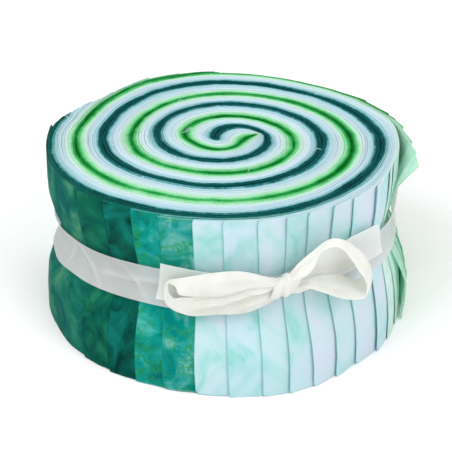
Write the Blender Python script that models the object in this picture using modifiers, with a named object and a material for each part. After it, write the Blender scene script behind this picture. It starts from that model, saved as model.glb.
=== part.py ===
"""A roll of fabric strips tied with a sheer ribbon, in metres, +Z up.

A stack of cotton strips is folded in half and wound up from the fold, so that the two
ends of the stack finish as steps around the outside. The roll stands on its cut edges.
A ribbon goes once round the middle and is tied in a bow at the front, towards -Y.

Angles are in degrees, clockwise seen from above, from the -X side of the winding's
centre: 90 is the back, 180 the right and 270 the front. Tables are in millimetres.
"""

import math

import bmesh
import bpy
from mathutils import Vector

MM = 0.001

# The cloth: strips 2.5 inches wide, and the thickness of half the folded stack
STRIP_WIDTH = 63.5
HALF_STACK = 10.0
TURN_PITCH = 2 * HALF_STACK
WOUND_CENTRE = (-0.785, 5.633)  # with the origin under the middle of the whole

# Where the inside of the fold and its outside lie on the first crossing of -X
OUTER_FACES_START = 14.05
INNER_FACES_START = OUTER_FACES_START + HALF_STACK

# The two lines seen in the end of the roll near its middle: x, y from its centre.
# Along the teal line the fold's inside faces meet, from the hairpin outwards.
TEAL_HEART = (
    (-3.8, -0.3),
    (-4.0, 2.7),
    (-2.8, 6.3),
    (-0.4, 8.7),
    (2.8, 10.0),
    (6.2, 9.6),
    (9.2, 7.7),
    (11.8, 4.9),
    (14.0, 1.7),
)
TEAL_SPIRAL_FROM, TEAL_SPIRAL_TO = -176.0, 664.0
# Along the green line the stack's outer faces meet, in an S through the middle.
GREEN_HEART = (
    (9.4, 2.3),
    (7.2, 0.1),
    (5.2, -3.5),
    (3.2, -6.9),
    (0.4, -9.1),
    (-2.4, -9.7),
    (-5.8, -8.9),
    (-9.0, -6.9),
    (-11.8, -3.9),
)
GREEN_SPIRAL_FROM, GREEN_SPIRAL_TO = 0.0, 745.0
LINE_STEP = 7.0  # degrees between the points of a spiral
GROOVE_RADIUS = 0.8

# How far the outer turns are pressed in or stand off from an even spiral:
# angle, shift.
TURN_SHIFTS = (
    (0, 0.0),
    (40, -1.4),
    (66, 0.4),
    (90, 0.5),
    (123, -1.2),
    (150, -0.6),
    (180, 0.5),
    (218, 0.0),
    (262, 1.5),
    (300, 0.7),
    (325, 0.6),
    (345, 0.6),
)
SHIFT_FROM, SHIFT_FULL = 34.0, 56.0

# The outside of the roll: angle, radius at the top, radius at the foot.
OUTSIDE = (
    (0, 65.0, 67.0),
    (10, 65.0, 66.6),
    (16, 63.0, 64.8),
    (26, 61.0, 62.6),
    (38, 59.0, 60.6),
    (50, 60.4, 62.0),
    (62, 62.2, 63.8),
    (76, 62.0, 63.6),
    (93, 60.0, 61.6),
    (108, 58.7, 60.4),
    (123, 58.5, 60.4),
    (134, 59.6, 61.4),
    (148, 61.7, 63.2),
    (158, 62.4, 63.8),
    (180, 61.8, 63.6),
    (199, 62.2, 65.0),
    (207, 63.2, 66.2),
    (218, 64.6, 67.6),
    (229, 64.7, 68.1),
    (237, 64.9, 70.0),
    (246, 65.6, 72.3),
    (256, 65.8, 73.4),
    (270, 65.3, 72.5),
    (280, 64.6, 71.2),
    (298, 64.2, 69.5),
    (309, 64.5, 68.8),
    (320, 65.6, 67.8),
    (340, 65.3, 66.7),
)
FLARE_FROM, FLARE_FULL = 34.0, 8.0  # heights between which the foot spreads

# The cut end of each visible strip, as the angle of its edge. The first ones are
# loose, and their places between the first and the last are the loose sheets'.
STRIP_ENDS = (
    (148.0, "dark green"),
    (157.0, "green"),
    (201.5, "pale green"),
    (208.5, "pale green"),
    (218.2, "pale blue"),
    (228.8, "pale blue"),
    (237.2, "pale blue"),
    (246.0, "pale blue"),
    (252.6, "pale blue"),
    (260.8, "pale blue"),
    (270.5, "pale blue"),
    (279.5, "pale blue"),
    (289.3, "sage"),
    (298.4, "teal"),
    (308.3, "dark teal"),
    (319.5, "dark teal"),
    (370.7, "grey teal"),
    (376.0, "grey teal"),
    (381.0, "pale blue"),
    (386.0, "pale blue"),
    (391.5, "pale green"),
    (398.0, "green"),
)
STEP_AT_TOP, STEP_AT_FOOT = 0.6, 1.5
EDGE_TURN = 0.15  # degrees taken up by the cut edge of a strip
PLAIN_STEP = 4.0  # widest angle between two points of the outside

# Heights of the rings of points on the wall
LEVELS = (0.0, 4.0, 10.0, 17.0, 24.0, 28.0, 32.0, 36.0, 40.0, 44.0, 48.0, 56.0, STRIP_WIDTH)

# The ribbon round the waist: angle, height of its middle, how far it pulls in.
RIBBON_PATH = (
    (0, 31.0, 5.4),
    (40, 31.5, 4.4),
    (90, 33.5, 3.2),
    (150, 36.5, 2.2),
    (200, 38.0, 1.4),
    (252, 37.5, 2.6),
    (290, 36.0, 3.0),
    (325, 34.5, 3.8),
    (345, 32.5, 4.8),
)
RIBBON_WIDTH = 14.6
RIBBON_THICKNESS = 1.0
PULL_REACH = 9.5
PIECE_GAP = 0.3
BAND_ROWS = 5
BAND_STEP = 3.0
BRIDGE = 7.0  # degrees to each side over which the taut ribbon spans steps

# Loose strip ends: name, angle where each leaves the roll, angle of its cut end,
# how far its top and foot corners stand off, distance of its inner face.
LOOSE_ENDS = (
    ("loose_end_inner", 160.0, 199.2, 8.0, 4.6, 0.3),
    ("loose_end_outer", 160.6, 183.5, 3.8, 2.2, 1.6),
)
LOOSE_THICKNESS = 1.0
LOOSE_COLUMNS = 14
LOOSE_HEIGHTS = (0.0, 4.0, 9.0, 15.0, 22.0, 27.0, 31.0, 35.0, 39.0, 43.0, 47.0, 53.0, 59.0, 63.1)
LOOSE_HELD = 1.2  # how far past the ribbon's edges a loose end is still held flat

# The bow's parts, each as sections along the ribbon: angle, how far the middle of the
# cloth stands off the ribbon round the waist, height of its low and its high edge.
BOW_PARTS = {
    "bow_loop_left": (
        (256.6, 4.2, 35.2, 41.8),
        (260.5, 5.6, 33.0, 42.6),
        (266.0, 6.6, 29.8, 44.2),
        (273.0, 7.0, 28.6, 44.8),
        (279.0, 6.6, 27.8, 44.8),
        (284.5, 5.8, 29.0, 43.4),
        (288.4, 4.8, 31.0, 40.6),
        (289.6, 3.6, 31.8, 39.6),
        (288.2, 2.5, 31.4, 40.6),
        (284.0, 2.3, 30.0, 42.6),
        (278.0, 2.3, 29.2, 43.8),
        (271.0, 2.3, 30.0, 43.6),
        (264.0, 2.3, 32.6, 42.6),
        (257.2, 2.4, 35.8, 41.4),
    ),
    "bow_loop_right": (
        (247.0, 2.8, 37.4, 44.4),
        (243.5, 3.0, 37.6, 49.6),
        (240.0, 3.4, 38.0, 52.2),
        (235.5, 4.2, 37.6, 52.4),
        (230.5, 5.4, 36.2, 50.0),
        (226.4, 7.6, 33.0, 45.4),
        (224.2, 10.4, 29.4, 40.4),
        (225.4, 13.0, 27.0, 37.6),
        (229.4, 14.0, 26.6, 37.6),
        (234.5, 12.8, 29.0, 38.8),
        (240.0, 10.2, 32.2, 40.0),
        (244.4, 7.4, 35.0, 41.0),
        (247.0, 5.4, 36.4, 41.6),
    ),
    "bow_tail_left": (
        (256.8, 0.8, 36.0, 42.6),
        (264.0, 0.8, 33.0, 44.0),
        (273.0, 0.8, 31.0, 43.8),
        (282.0, 0.8, 30.6, 44.4),
        (291.0, 0.8, 31.0, 45.2),
    ),
    "bow_tail_right": (
        (246.8, 0.9, 37.4, 44.6),
        (240.0, 0.8, 37.0, 48.6),
        (233.0, 0.8, 36.0, 50.0),
        (226.0, 0.8, 35.0, 49.4),
        (219.0, 0.8, 34.4, 48.9),
        (214.4, 0.8, 34.2, 48.5),
    ),
}
BOW_THICKNESS = 1.0
BOW_PARTS_BETWEEN = 2  # parts of the eased line between two sections
BOW_COLUMNS = 4
BOW_CROWN = 0.5  # how far the middle of the ribbon bellies out

# The knot: angle and height of its middle, stand-off, half sizes round, out and up
KNOT_ANGLE, KNOT_HEIGHT, KNOT_OFF = 251.8, 38.9, 4.4
KNOT_HALF = (4.3, 3.6, 5.2)
KNOT_NECK = 0.72  # width of its top and bottom against its middle


def smooth_step(value):
    """Eases from 0 to 1."""
    value = min(max(value, 0.0), 1.0)
    return value * value * (3 - 2 * value)


def around(table, angle, column):
    """The value of a column at an angle, eased between the rows of a closed table."""
    angle %= 360.0
    rows = list(table) + [(table[0][0] + 360.0,) + tuple(table[0][1:])]
    for low, high in zip(rows, rows[1:]):
        if low[0] <= angle <= high[0]:
            share = smooth_step((angle - low[0]) / (high[0] - low[0]))
            return low[column] + (high[column] - low[column]) * share
    return table[0][column]


def place(angle, radius, height):
    """A point in metres, from an angle, a distance from the centre and a height."""
    turn = math.radians(angle)
    return Vector(
        (
            (WOUND_CENTRE[0] - radius * math.cos(turn)) * MM,
            (WOUND_CENTRE[1] + radius * math.sin(turn)) * MM,
            height * MM,
        )
    )


def new_object(name, mesh, collection):
    """An object for the mesh, in the collection."""
    made = bpy.data.objects.new(name, mesh)
    collection.objects.link(made)
    return made


def new_collection(name):
    """A collection in the scene."""
    made = bpy.data.collections.new(name)
    bpy.context.scene.collection.children.link(made)
    return made


def new_material(name, colour, roughness):
    """A plain cloth material."""
    made = bpy.data.materials.new(name)
    made.use_nodes = True
    shader = made.node_tree.nodes["Principled BSDF"]
    shader.inputs["Base Color"].default_value = (*colour, 1.0)
    shader.inputs["Roughness"].default_value = roughness
    shader.inputs["Metallic"].default_value = 0.0
    return made


# The spiral lines in the ends of the roll


def shifted_radius(angle, radius):
    """The radius of a turn once the outer turns' unevenness is added."""
    share = smooth_step((radius - SHIFT_FROM) / (SHIFT_FULL - SHIFT_FROM))
    return radius + around(TURN_SHIFTS, angle, 1) * share


def spiral_points(start_radius, first, last):
    """Points along a spiral between two angles, in millimetres from its centre."""
    count = round((last - first) / LINE_STEP)
    points = []
    for index in range(count + 1):
        angle = first + (last - first) * index / count
        radius = shifted_radius(angle, start_radius + TURN_PITCH * angle / 360.0)
        turn = math.radians(angle)
        points.append((-radius * math.cos(turn), radius * math.sin(turn)))
    return points


def eased_path(points, parts):
    """A Catmull-Rom line through the points, with so many parts between each two."""
    ends = [points[0]] + list(points) + [points[-1]]
    path = []
    for index in range(len(points) - 1):
        a, b, c, d = (Vector(p) for p in ends[index : index + 4])
        for part in range(parts):
            t = part / parts
            path.append(
                (
                    2 * b
                    + (c - a) * t
                    + (2 * a - 5 * b + 4 * c - d) * t**2
                    + (3 * b - a - 3 * c + d) * t**3
                )
                / 2
            )
    path.append(Vector(points[-1]))
    return path


def groove_cutter(name, line, height, collection):
    """A thin round cutter that lies along a line in the end of the roll."""
    curve = bpy.data.curves.new(name, "CURVE")
    curve.dimensions = "3D"
    curve.bevel_depth = GROOVE_RADIUS * MM
    curve.bevel_resolution = 0
    curve.use_fill_caps = True
    spline = curve.splines.new("POLY")
    spline.points.add(len(line) - 1)
    for point, at in zip(spline.points, line):
        point.co = (at[0] * MM, at[1] * MM, 0.0, 1.0)
    guide = new_object(name + "_guide", curve, collection)
    guide.location = (WOUND_CENTRE[0] * MM, WOUND_CENTRE[1] * MM, height * MM)
    bpy.context.view_layer.update()
    graph = bpy.context.evaluated_depsgraph_get()
    mesh = bpy.data.meshes.new_from_object(guide.evaluated_get(graph))
    stand = guide.matrix_world.copy()
    bpy.data.objects.remove(guide)
    shape = bmesh.new()
    shape.from_mesh(mesh)
    bmesh.ops.remove_doubles(shape, verts=shape.verts, dist=0.00001)
    bmesh.ops.recalc_face_normals(shape, faces=shape.faces)
    shape.to_mesh(mesh)
    shape.free()
    cutter = new_object(name, mesh, collection)
    cutter.matrix_world = stand
    cutter.hide_render = True
    cutter.display_type = "WIRE"
    return cutter


# The wall of the roll


def waist(angle, height):
    """How far the ribbon pulls the wall in at a height."""
    middle = around(RIBBON_PATH, angle, 1)
    pull = around(RIBBON_PATH, angle, 2)
    return pull * math.exp(-(((height - middle) / PULL_REACH) ** 2))


def envelope(angle, height):
    """The radius that the outermost edges of the strips reach."""
    top = around(OUTSIDE, angle, 1)
    foot = around(OUTSIDE, angle, 2)
    flare = smooth_step((FLARE_FROM - height) / (FLARE_FROM - FLARE_FULL))
    return top + (foot - top) * flare - waist(angle, height)


def step_depth(angle, height):
    """How far the wall lies under the edge of the strip that it belongs to."""
    first, last = STRIP_ENDS[0][0], STRIP_ENDS[-1][0]
    if angle < last - 360.0:
        angle += 360.0
    if not first < angle <= last:
        return 0.0
    ends = [row[0] for row in STRIP_ENDS]
    start = max(end for end in ends if end < angle)
    stop = min(end for end in ends if end >= angle)
    share = (angle - start) / (stop - start)
    foot_share = smooth_step((FLARE_FROM - height) / (FLARE_FROM - FLARE_FULL))
    depth = STEP_AT_TOP + (STEP_AT_FOOT - STEP_AT_TOP) * foot_share
    return depth * (1.0 - min(share, 1.0)) ** 1.5


def wall_radius(angle, height):
    """The radius of the roll's wall."""
    return envelope(angle, height) - step_depth(angle, height)


def wall_angles():
    """Angles of the wall's points: two at each cut edge, and enough between them."""
    edges = sorted({end % 360.0 for end, _ in STRIP_ENDS})
    angles = []
    for low, high in zip(edges, edges[1:] + [edges[0] + 360.0]):
        start = low + EDGE_TURN
        count = max(2, math.ceil((high - start) / PLAIN_STEP))
        angles += [start + (high - start) * i / count for i in range(count + 1)]
    return [angle % 360.0 for angle in angles]


def lofted_mesh(name, rings):
    """A closed mesh through rings of points, with a flat face at each end."""
    shape = bmesh.new()
    rows = [[shape.verts.new(point) for point in ring] for ring in rings]
    for low, high in zip(rows, rows[1:]):
        for i in range(len(low)):
            j = (i + 1) % len(low)
            shape.faces.new((low[i], low[j], high[j], high[i]))
    shape.faces.new(rows[0])
    shape.faces.new(rows[-1])
    bmesh.ops.recalc_face_normals(shape, faces=shape.faces)
    mesh = bpy.data.meshes.new(name)
    shape.to_mesh(mesh)
    shape.free()
    return mesh


def build_roll(collection, cutters):
    """The wound strips, with the two spiral lines as grooves in both ends."""
    angles = wall_angles()
    rings = [[place(a, wall_radius(a, z), z) for a in angles] for z in LEVELS]
    roll = new_object("wound_strips", lofted_mesh("wound_strips", rings), collection)
    lines = {
        "teal_line": (TEAL_HEART, INNER_FACES_START, TEAL_SPIRAL_FROM, TEAL_SPIRAL_TO),
        "green_line": (
            GREEN_HEART,
            OUTER_FACES_START,
            GREEN_SPIRAL_FROM,
            GREEN_SPIRAL_TO,
        ),
    }
    for name, (heart, start_radius, first, last) in lines.items():
        points = list(heart) + spiral_points(start_radius, first, last)
        line = eased_path(points[: len(heart) + 1], 2)[:-1]
        line += [Vector(p) for p in points[len(heart) :]]
        for end, height in (("top", STRIP_WIDTH), ("foot", 0.0)):
            cutter = groove_cutter(f"{name}_{end}", line, height, cutters)
            cut = roll.modifiers.new(cutter.name, "BOOLEAN")
            cut.operation = "DIFFERENCE"
            cut.solver = "EXACT"
            cut.object = cutter
    return roll


def sheet_object(name, rows, thickness, collection, closed=False):
    """A sheet through a grid of points, thickened outwards."""
    shape = bmesh.new()
    grid = [[shape.verts.new(point) for point in row] for row in rows]
    if closed:
        grid.append(grid[0])
    for low, high in zip(grid, grid[1:]):
        for i in range(len(low) - 1):
            shape.faces.new((low[i], low[i + 1], high[i + 1], high[i]))
    mesh = bpy.data.meshes.new(name)
    shape.to_mesh(mesh)
    shape.free()
    made = new_object(name, mesh, collection)
    solid = made.modifiers.new("thickness", "SOLIDIFY")
    solid.thickness = thickness * MM
    solid.offset = 1.0
    solid.use_even_offset = True
    return made


def loose_radius(row, angle, height):
    """The radius of a loose end's inner face."""
    _, start, end, top_reach, foot_reach, off = row
    share = (angle - start) / (end - start)
    middle = around(RIBBON_PATH, angle, 1)
    half = RIBBON_WIDTH / 2 + LOOSE_HELD
    if height > middle:
        away = smooth_step((height - middle - half) / (STRIP_WIDTH - middle - half))
        reach = top_reach * away
    else:
        away = smooth_step((middle - half - height) / (middle - half))
        reach = foot_reach * math.sqrt(away)
    return envelope(angle, height) + off + reach * share**1.7


def build_loose_end(row, collection):
    """The ends of a few strips that have sprung away from the roll together."""
    name, start, end = row[:3]
    rows = []
    for column in range(LOOSE_COLUMNS + 1):
        angle = start + (end - start) * column / LOOSE_COLUMNS
        rows.append(
            [place(angle, loose_radius(row, angle, z), z) for z in LOOSE_HEIGHTS]
        )
    return sheet_object(name, rows, LOOSE_THICKNESS, collection)


def outside_radius(angle, height):
    """The outside of whatever the ribbon lies on: the roll or a loose end."""
    reach = envelope(angle, height)
    for row in LOOSE_ENDS:
        if row[1] - 1.0 < angle % 360.0 < row[2] + 1.0:
            held = min(max(angle % 360.0, row[1]), row[2])
            reach = max(reach, loose_radius(row, held, height) + LOOSE_THICKNESS)
    return reach


def band_radius(angle, height):
    """The inner face of the taut ribbon, which spans the steps under it."""
    nearby = [angle + BRIDGE * (i - 3) / 3 for i in range(7)]
    tight = [
        max(outside_radius(at + BRIDGE * (i - 3) / 3, height) for i in range(7))
        for at in nearby
    ]
    return sum(tight) / len(tight) + PIECE_GAP


def build_band(collection):
    """The ribbon round the waist."""
    rows = []
    count = round(360.0 / BAND_STEP)
    for column in range(count):
        angle = column * 360.0 / count
        middle = around(RIBBON_PATH, angle, 1)
        row = []
        for index in range(BAND_ROWS):
            height = middle + RIBBON_WIDTH * (index / (BAND_ROWS - 1) - 0.5)
            row.append(place(angle, band_radius(angle, height), height))
        rows.append(row)
    return sheet_object("ribbon_band", rows, RIBBON_THICKNESS, collection, closed=True)


def bow_place(angle, stand_off, height):
    """A point that stands off the outer face of the ribbon round the waist."""
    reach = band_radius(angle, height) + RIBBON_THICKNESS + stand_off
    return place(angle, reach, height)


def build_bow_part(name, sections, collection):
    """A loop or tail of the bow, as ribbon eased through its sections."""
    starts = eased_path([Vector(row[:3]) for row in sections], BOW_PARTS_BETWEEN)
    highs = eased_path([Vector((row[3], 0, 0)) for row in sections], BOW_PARTS_BETWEEN)
    rows = []
    for (angle, off, low), (high, _, _) in zip(starts, highs):
        row = []
        for column in range(BOW_COLUMNS + 1):
            share = column / BOW_COLUMNS
            belly = BOW_CROWN * 4 * share * (1 - share)
            row.append(bow_place(angle, off + belly, low + (high - low) * share))
        rows.append(row)
    made = sheet_object(name, rows, BOW_THICKNESS, collection)
    made.modifiers["thickness"].offset = 0.0
    return made


def build_knot(collection):
    """The knot, a pillow of ribbon drawn in at its top and bottom."""
    shape = bmesh.new()
    bmesh.ops.create_cube(shape, size=2.0)
    bmesh.ops.subdivide_edges(shape, edges=shape.edges, cuts=1, use_grid_fill=True)
    for vert in shape.verts:
        across = KNOT_HALF[0] * (KNOT_NECK if abs(vert.co.z) > 0.5 else 1.0)
        size = (across, KNOT_HALF[1], KNOT_HALF[2])
        vert.co = Vector([vert.co[k] * size[k] * MM for k in range(3)])
    mesh = bpy.data.meshes.new("bow_knot")
    shape.to_mesh(mesh)
    shape.free()
    knot = new_object("bow_knot", mesh, collection)
    knot.location = bow_place(KNOT_ANGLE, KNOT_OFF, KNOT_HEIGHT)
    knot.rotation_euler = (0.0, 0.0, math.radians(270.0 - KNOT_ANGLE))
    rounding = knot.modifiers.new("rounding", "SUBSURF")
    rounding.levels = 2
    rounding.render_levels = 2
    return knot


def main():
    """Builds the roll, its loose ends and its ribbon."""
    for old in list(bpy.data.objects):
        bpy.data.objects.remove(old, do_unlink=True)
    pieces = new_collection("jelly_roll")
    cutters = new_collection("cutters")
    roll = build_roll(pieces, cutters)
    roll.data.materials.append(new_material("batik cotton", (0.28, 0.62, 0.64), 0.85))
    green = new_material("pale green cotton", (0.45, 0.78, 0.58), 0.85)
    for row in LOOSE_ENDS:
        build_loose_end(row, pieces).data.materials.append(green)
    white = new_material("sheer ribbon", (0.86, 0.88, 0.82), 0.45)
    build_band(pieces).data.materials.append(white)
    for name, sections in BOW_PARTS.items():
        build_bow_part(name, sections, pieces).data.materials.append(white)
    build_knot(pieces).data.materials.append(white)


main()
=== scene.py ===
"""A roll of batik cotton strips tied with a sheer ribbon, in metres, +Z up.

Forty strips are stacked, folded in half and wound up from the fold, so each strip runs
from its outer leg on the right and front, inwards to the nose of the fold in the heart,
and back outwards as the inner leg. The ends of the outer legs show as steps around the
wall. A ribbon goes once round the waist and is tied in a bow at the front.

Angles are in degrees, clockwise seen from above, from the -X side of the winding's
centre: 90 is the back, 180 the right and 270 the front. Along a spiral they go on past
360. Radii and heights in the tables are in millimetres.
"""

import logging
import math
from dataclasses import dataclass
from enum import Enum

import bmesh
import bpy
import numpy as np
from mathutils import Matrix, Vector


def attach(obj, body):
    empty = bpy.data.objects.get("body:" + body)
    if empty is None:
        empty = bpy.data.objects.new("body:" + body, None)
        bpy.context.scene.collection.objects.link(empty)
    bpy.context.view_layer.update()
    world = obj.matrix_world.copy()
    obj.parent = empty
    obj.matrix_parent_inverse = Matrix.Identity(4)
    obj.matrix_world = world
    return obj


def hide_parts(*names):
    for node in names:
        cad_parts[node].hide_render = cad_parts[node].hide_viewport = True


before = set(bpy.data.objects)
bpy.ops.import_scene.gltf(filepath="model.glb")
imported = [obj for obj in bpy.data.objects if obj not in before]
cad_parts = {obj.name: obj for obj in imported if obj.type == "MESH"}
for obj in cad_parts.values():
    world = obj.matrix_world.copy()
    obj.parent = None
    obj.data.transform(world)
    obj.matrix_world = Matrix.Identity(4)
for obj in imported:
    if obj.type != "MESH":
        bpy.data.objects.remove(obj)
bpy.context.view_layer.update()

MM = 0.001
log = logging.getLogger("jelly_roll")


# Numbers and meshes


def ease(share: np.ndarray) -> np.ndarray:
    """Eases from 0 to 1.

    Args:
        share: Values, of which those outside 0 to 1 are held at the ends.

    Returns:
        The eased values.
    """
    held = np.clip(share, 0.0, 1.0)
    return held * held * (3 - 2 * held)


def around(table: tuple, angles: np.ndarray, column: int) -> np.ndarray:
    """Reads a column of a closed table, eased between its rows.

    Args:
        table: Rows that begin with an angle in degrees.
        angles: Where to read it, in degrees.
        column: The column to read.

    Returns:
        The values at the angles.
    """
    rows = np.array([(row[0], row[column]) for row in table], float)
    rows = np.vstack([rows, (rows[0, 0] + 360.0, rows[0, 1])])
    turned = (np.asarray(angles, float) - rows[0, 0]) % 360.0 + rows[0, 0]
    low = np.clip(np.searchsorted(rows[:, 0], turned, side="right") - 1, 0, len(rows) - 2)
    share = ease((turned - rows[low, 0]) / (rows[low + 1, 0] - rows[low, 0]))
    return rows[low, 1] + (rows[low + 1, 1] - rows[low, 1]) * share


def smooth_line(points: tuple, parts: int) -> np.ndarray:
    """Draws a Catmull-Rom line through points.

    Args:
        points: The points, each of any number of values.
        parts: How many parts the line has between two points.

    Returns:
        The line's points, one row each.
    """
    known = np.array(points, float)
    ends = np.vstack([known[:1], known, known[-1:]])
    line = []
    for index in range(len(known) - 1):
        a, b, c, d = ends[index : index + 4]
        for part in range(parts):
            t = part / parts
            line.append(
                0.5
                * (
                    2 * b
                    + (c - a) * t
                    + (2 * a - 5 * b + 4 * c - d) * t**2
                    + (3 * b - a - 3 * c + d) * t**3
                )
            )
    line.append(known[-1])
    return np.array(line)


def even_points(line: np.ndarray, shares: np.ndarray) -> np.ndarray:
    """Reads points at shares of a line's length.

    Args:
        line: The line's points, one row each.
        shares: Shares of the length, from 0 to 1.

    Returns:
        The points, one row for each share.
    """
    steps = np.linalg.norm(np.diff(line, axis=0), axis=1)
    reach = np.concatenate([[0.0], np.cumsum(steps)])
    at = np.asarray(shares) * reach[-1]
    return np.stack([np.interp(at, reach, line[:, k]) for k in range(line.shape[1])], 1)


def slow_noise(rng: np.random.Generator, count: int, spread: float) -> np.ndarray:
    """Draws smooth random values along a line.

    Args:
        rng: The source of the draws.
        count: How many values.
        spread: How many neighbours a value is averaged with, to each side.

    Returns:
        The values, with a spread of about 1.
    """
    reach = int(3 * spread)
    raw = rng.normal(size=count + 2 * reach)
    weights = np.exp(-0.5 * (np.arange(-reach, reach + 1) / spread) ** 2)
    smooth = np.convolve(raw, weights / np.sqrt((weights**2).sum()), mode="valid")
    return smooth[:count]


def new_object(name: str, mesh: bpy.types.Mesh, material: bpy.types.Material) -> bpy.types.Object:
    """Makes an object of a mesh in the scene, smooth but for its sharp edges.

    Args:
        name: The piece's name.
        mesh: Its mesh.
        material: Its finish.

    Returns:
        The new object.
    """
    made = bpy.data.objects.new(name, mesh)
    bpy.context.scene.collection.objects.link(made)
    mesh.materials.append(material)
    mesh.shade_smooth()
    mesh.set_sharp_from_angle(angle=math.radians(50))
    return made


def cloth_mesh(
    name: str,
    outer: np.ndarray,
    inner: np.ndarray,
    along: np.ndarray,
    across: np.ndarray,
) -> bpy.types.Mesh:
    """Makes a closed thin sheet from the grids of its two faces.

    Args:
        name: The mesh's name.
        outer: Points of the outer face in metres, (columns, rows, 3).
        inner: Points of the inner face, the same way.
        along: Distance of each column along the cloth in metres.
        across: Distance of each row across it in metres.

    Returns:
        The mesh, with a map in metres and the distance from the nearest end as "end".
    """
    columns, rows = outer.shape[:2]
    ring = 2 * rows
    loops = np.concatenate([outer, inner[:, ::-1]], axis=1)
    index = np.arange(columns * ring).reshape(columns, ring)
    here, there = index[:-1], index[1:]
    sides = np.stack(
        [here, there, np.roll(there, -1, axis=1), np.roll(here, -1, axis=1)], axis=-1
    ).reshape(-1, 4)
    caps = []
    for end, first in ((index[0], True), (index[-1], False)):
        for row in range(rows - 1):
            face = [end[row], end[row + 1], end[ring - 2 - row], end[ring - 1 - row]]
            caps.append(face if first else face[::-1])
    faces = np.vstack([sides, np.array(caps)])
    mesh = bpy.data.meshes.new(name)
    mesh.vertices.add(len(loops.reshape(-1, 3)))
    mesh.vertices.foreach_set("co", loops.reshape(-1).astype(np.float32))
    mesh.loops.add(faces.size)
    mesh.loops.foreach_set("vertex_index", faces.reshape(-1).astype(np.int32))
    mesh.polygons.add(len(faces))
    mesh.polygons.foreach_set("loop_start", np.arange(0, faces.size, 4, dtype=np.int32))
    mesh.update(calc_edges=True)
    reach = np.repeat(along, ring)
    lift = np.tile(np.concatenate([across, across[::-1]]), columns)
    layer = mesh.uv_layers.new(name="cloth")
    corners = np.stack([reach[faces.reshape(-1)], lift[faces.reshape(-1)]], axis=1)
    layer.uv.foreach_set("vector", corners.reshape(-1).astype(np.float32))
    nearest = np.minimum(reach, along[-1] - reach)
    add_values(mesh, "end", nearest)
    return mesh


def add_values(mesh: bpy.types.Mesh, name: str, values: np.ndarray) -> None:
    """Gives each point of a mesh a value that its finish reads.

    Args:
        mesh: The mesh.
        name: The values' name.
        values: One value for each point, or one for all.
    """
    made = mesh.attributes.new(name, "FLOAT", "POINT")
    spread = np.broadcast_to(values, (len(mesh.vertices),)).astype(np.float32)
    made.data.foreach_set("value", np.ascontiguousarray(spread))


# Finishes


def srgb(code: str) -> tuple[float, float, float, float]:
    """Turns an sRGB hex colour to linear.

    Args:
        code: Six hex digits.

    Returns:
        Red, green, blue and alpha, linear.
    """
    parts = [int(code[k : k + 2], 16) / 255 for k in (0, 2, 4)]
    linear = [p / 12.92 if p <= 0.04045 else ((p + 0.055) / 1.055) ** 2.4 for p in parts]
    return (*linear, 1.0)


def add_node(
    tree: bpy.types.NodeTree,
    kind: str,
    settings: dict[str, object] | None = None,
    **inputs: object,
) -> bpy.types.Node:
    """Adds a shader node.

    Args:
        tree: The node tree.
        kind: The node's type, without its ShaderNode prefix.
        settings: Its own settings by name.
        **inputs: Values or output sockets for its inputs, by name with _ for a space,
            or by number as in1, in2.

    Returns:
        The node.
    """
    node = tree.nodes.new("ShaderNode" + kind)
    for name, value in (settings or {}).items():
        setattr(node, name, value)
    for name, value in inputs.items():
        key = int(name[2:]) if name[:2] == "in" and name[2:].isdigit() else name.replace("_", " ")
        if isinstance(value, bpy.types.NodeSocket):
            tree.links.new(value, node.inputs[key])
        else:
            node.inputs[key].default_value = value
    return node


def add_ramp(
    tree: bpy.types.NodeTree, share: bpy.types.NodeSocket, stops: list[tuple[float, str]]
) -> bpy.types.NodeSocket:
    """Adds a ramp of colours, eased between its stops.

    Args:
        tree: The node tree.
        share: Where to read it, from 0 to 1.
        stops: Places from 0 to 1 and their colours, in order.

    Returns:
        The colour's socket.
    """
    node = add_node(tree, "ValToRGB", Fac=share)
    band = node.color_ramp
    band.interpolation = "LINEAR"
    for index, (at, code) in enumerate(stops):
        stop = band.elements[index] if index < 2 else band.elements.new(at)
        stop.position = at
        stop.color = srgb(code)
    return node.outputs["Color"]


def new_material(name: str) -> tuple[bpy.types.Material, bpy.types.NodeTree]:
    """Makes an empty material that has only its output.

    Args:
        name: The finish's name.

    Returns:
        The material and its node tree.
    """
    made = bpy.data.materials.new(name)
    made.use_nodes = True
    made.node_tree.nodes.clear()
    return made, made.node_tree


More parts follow.
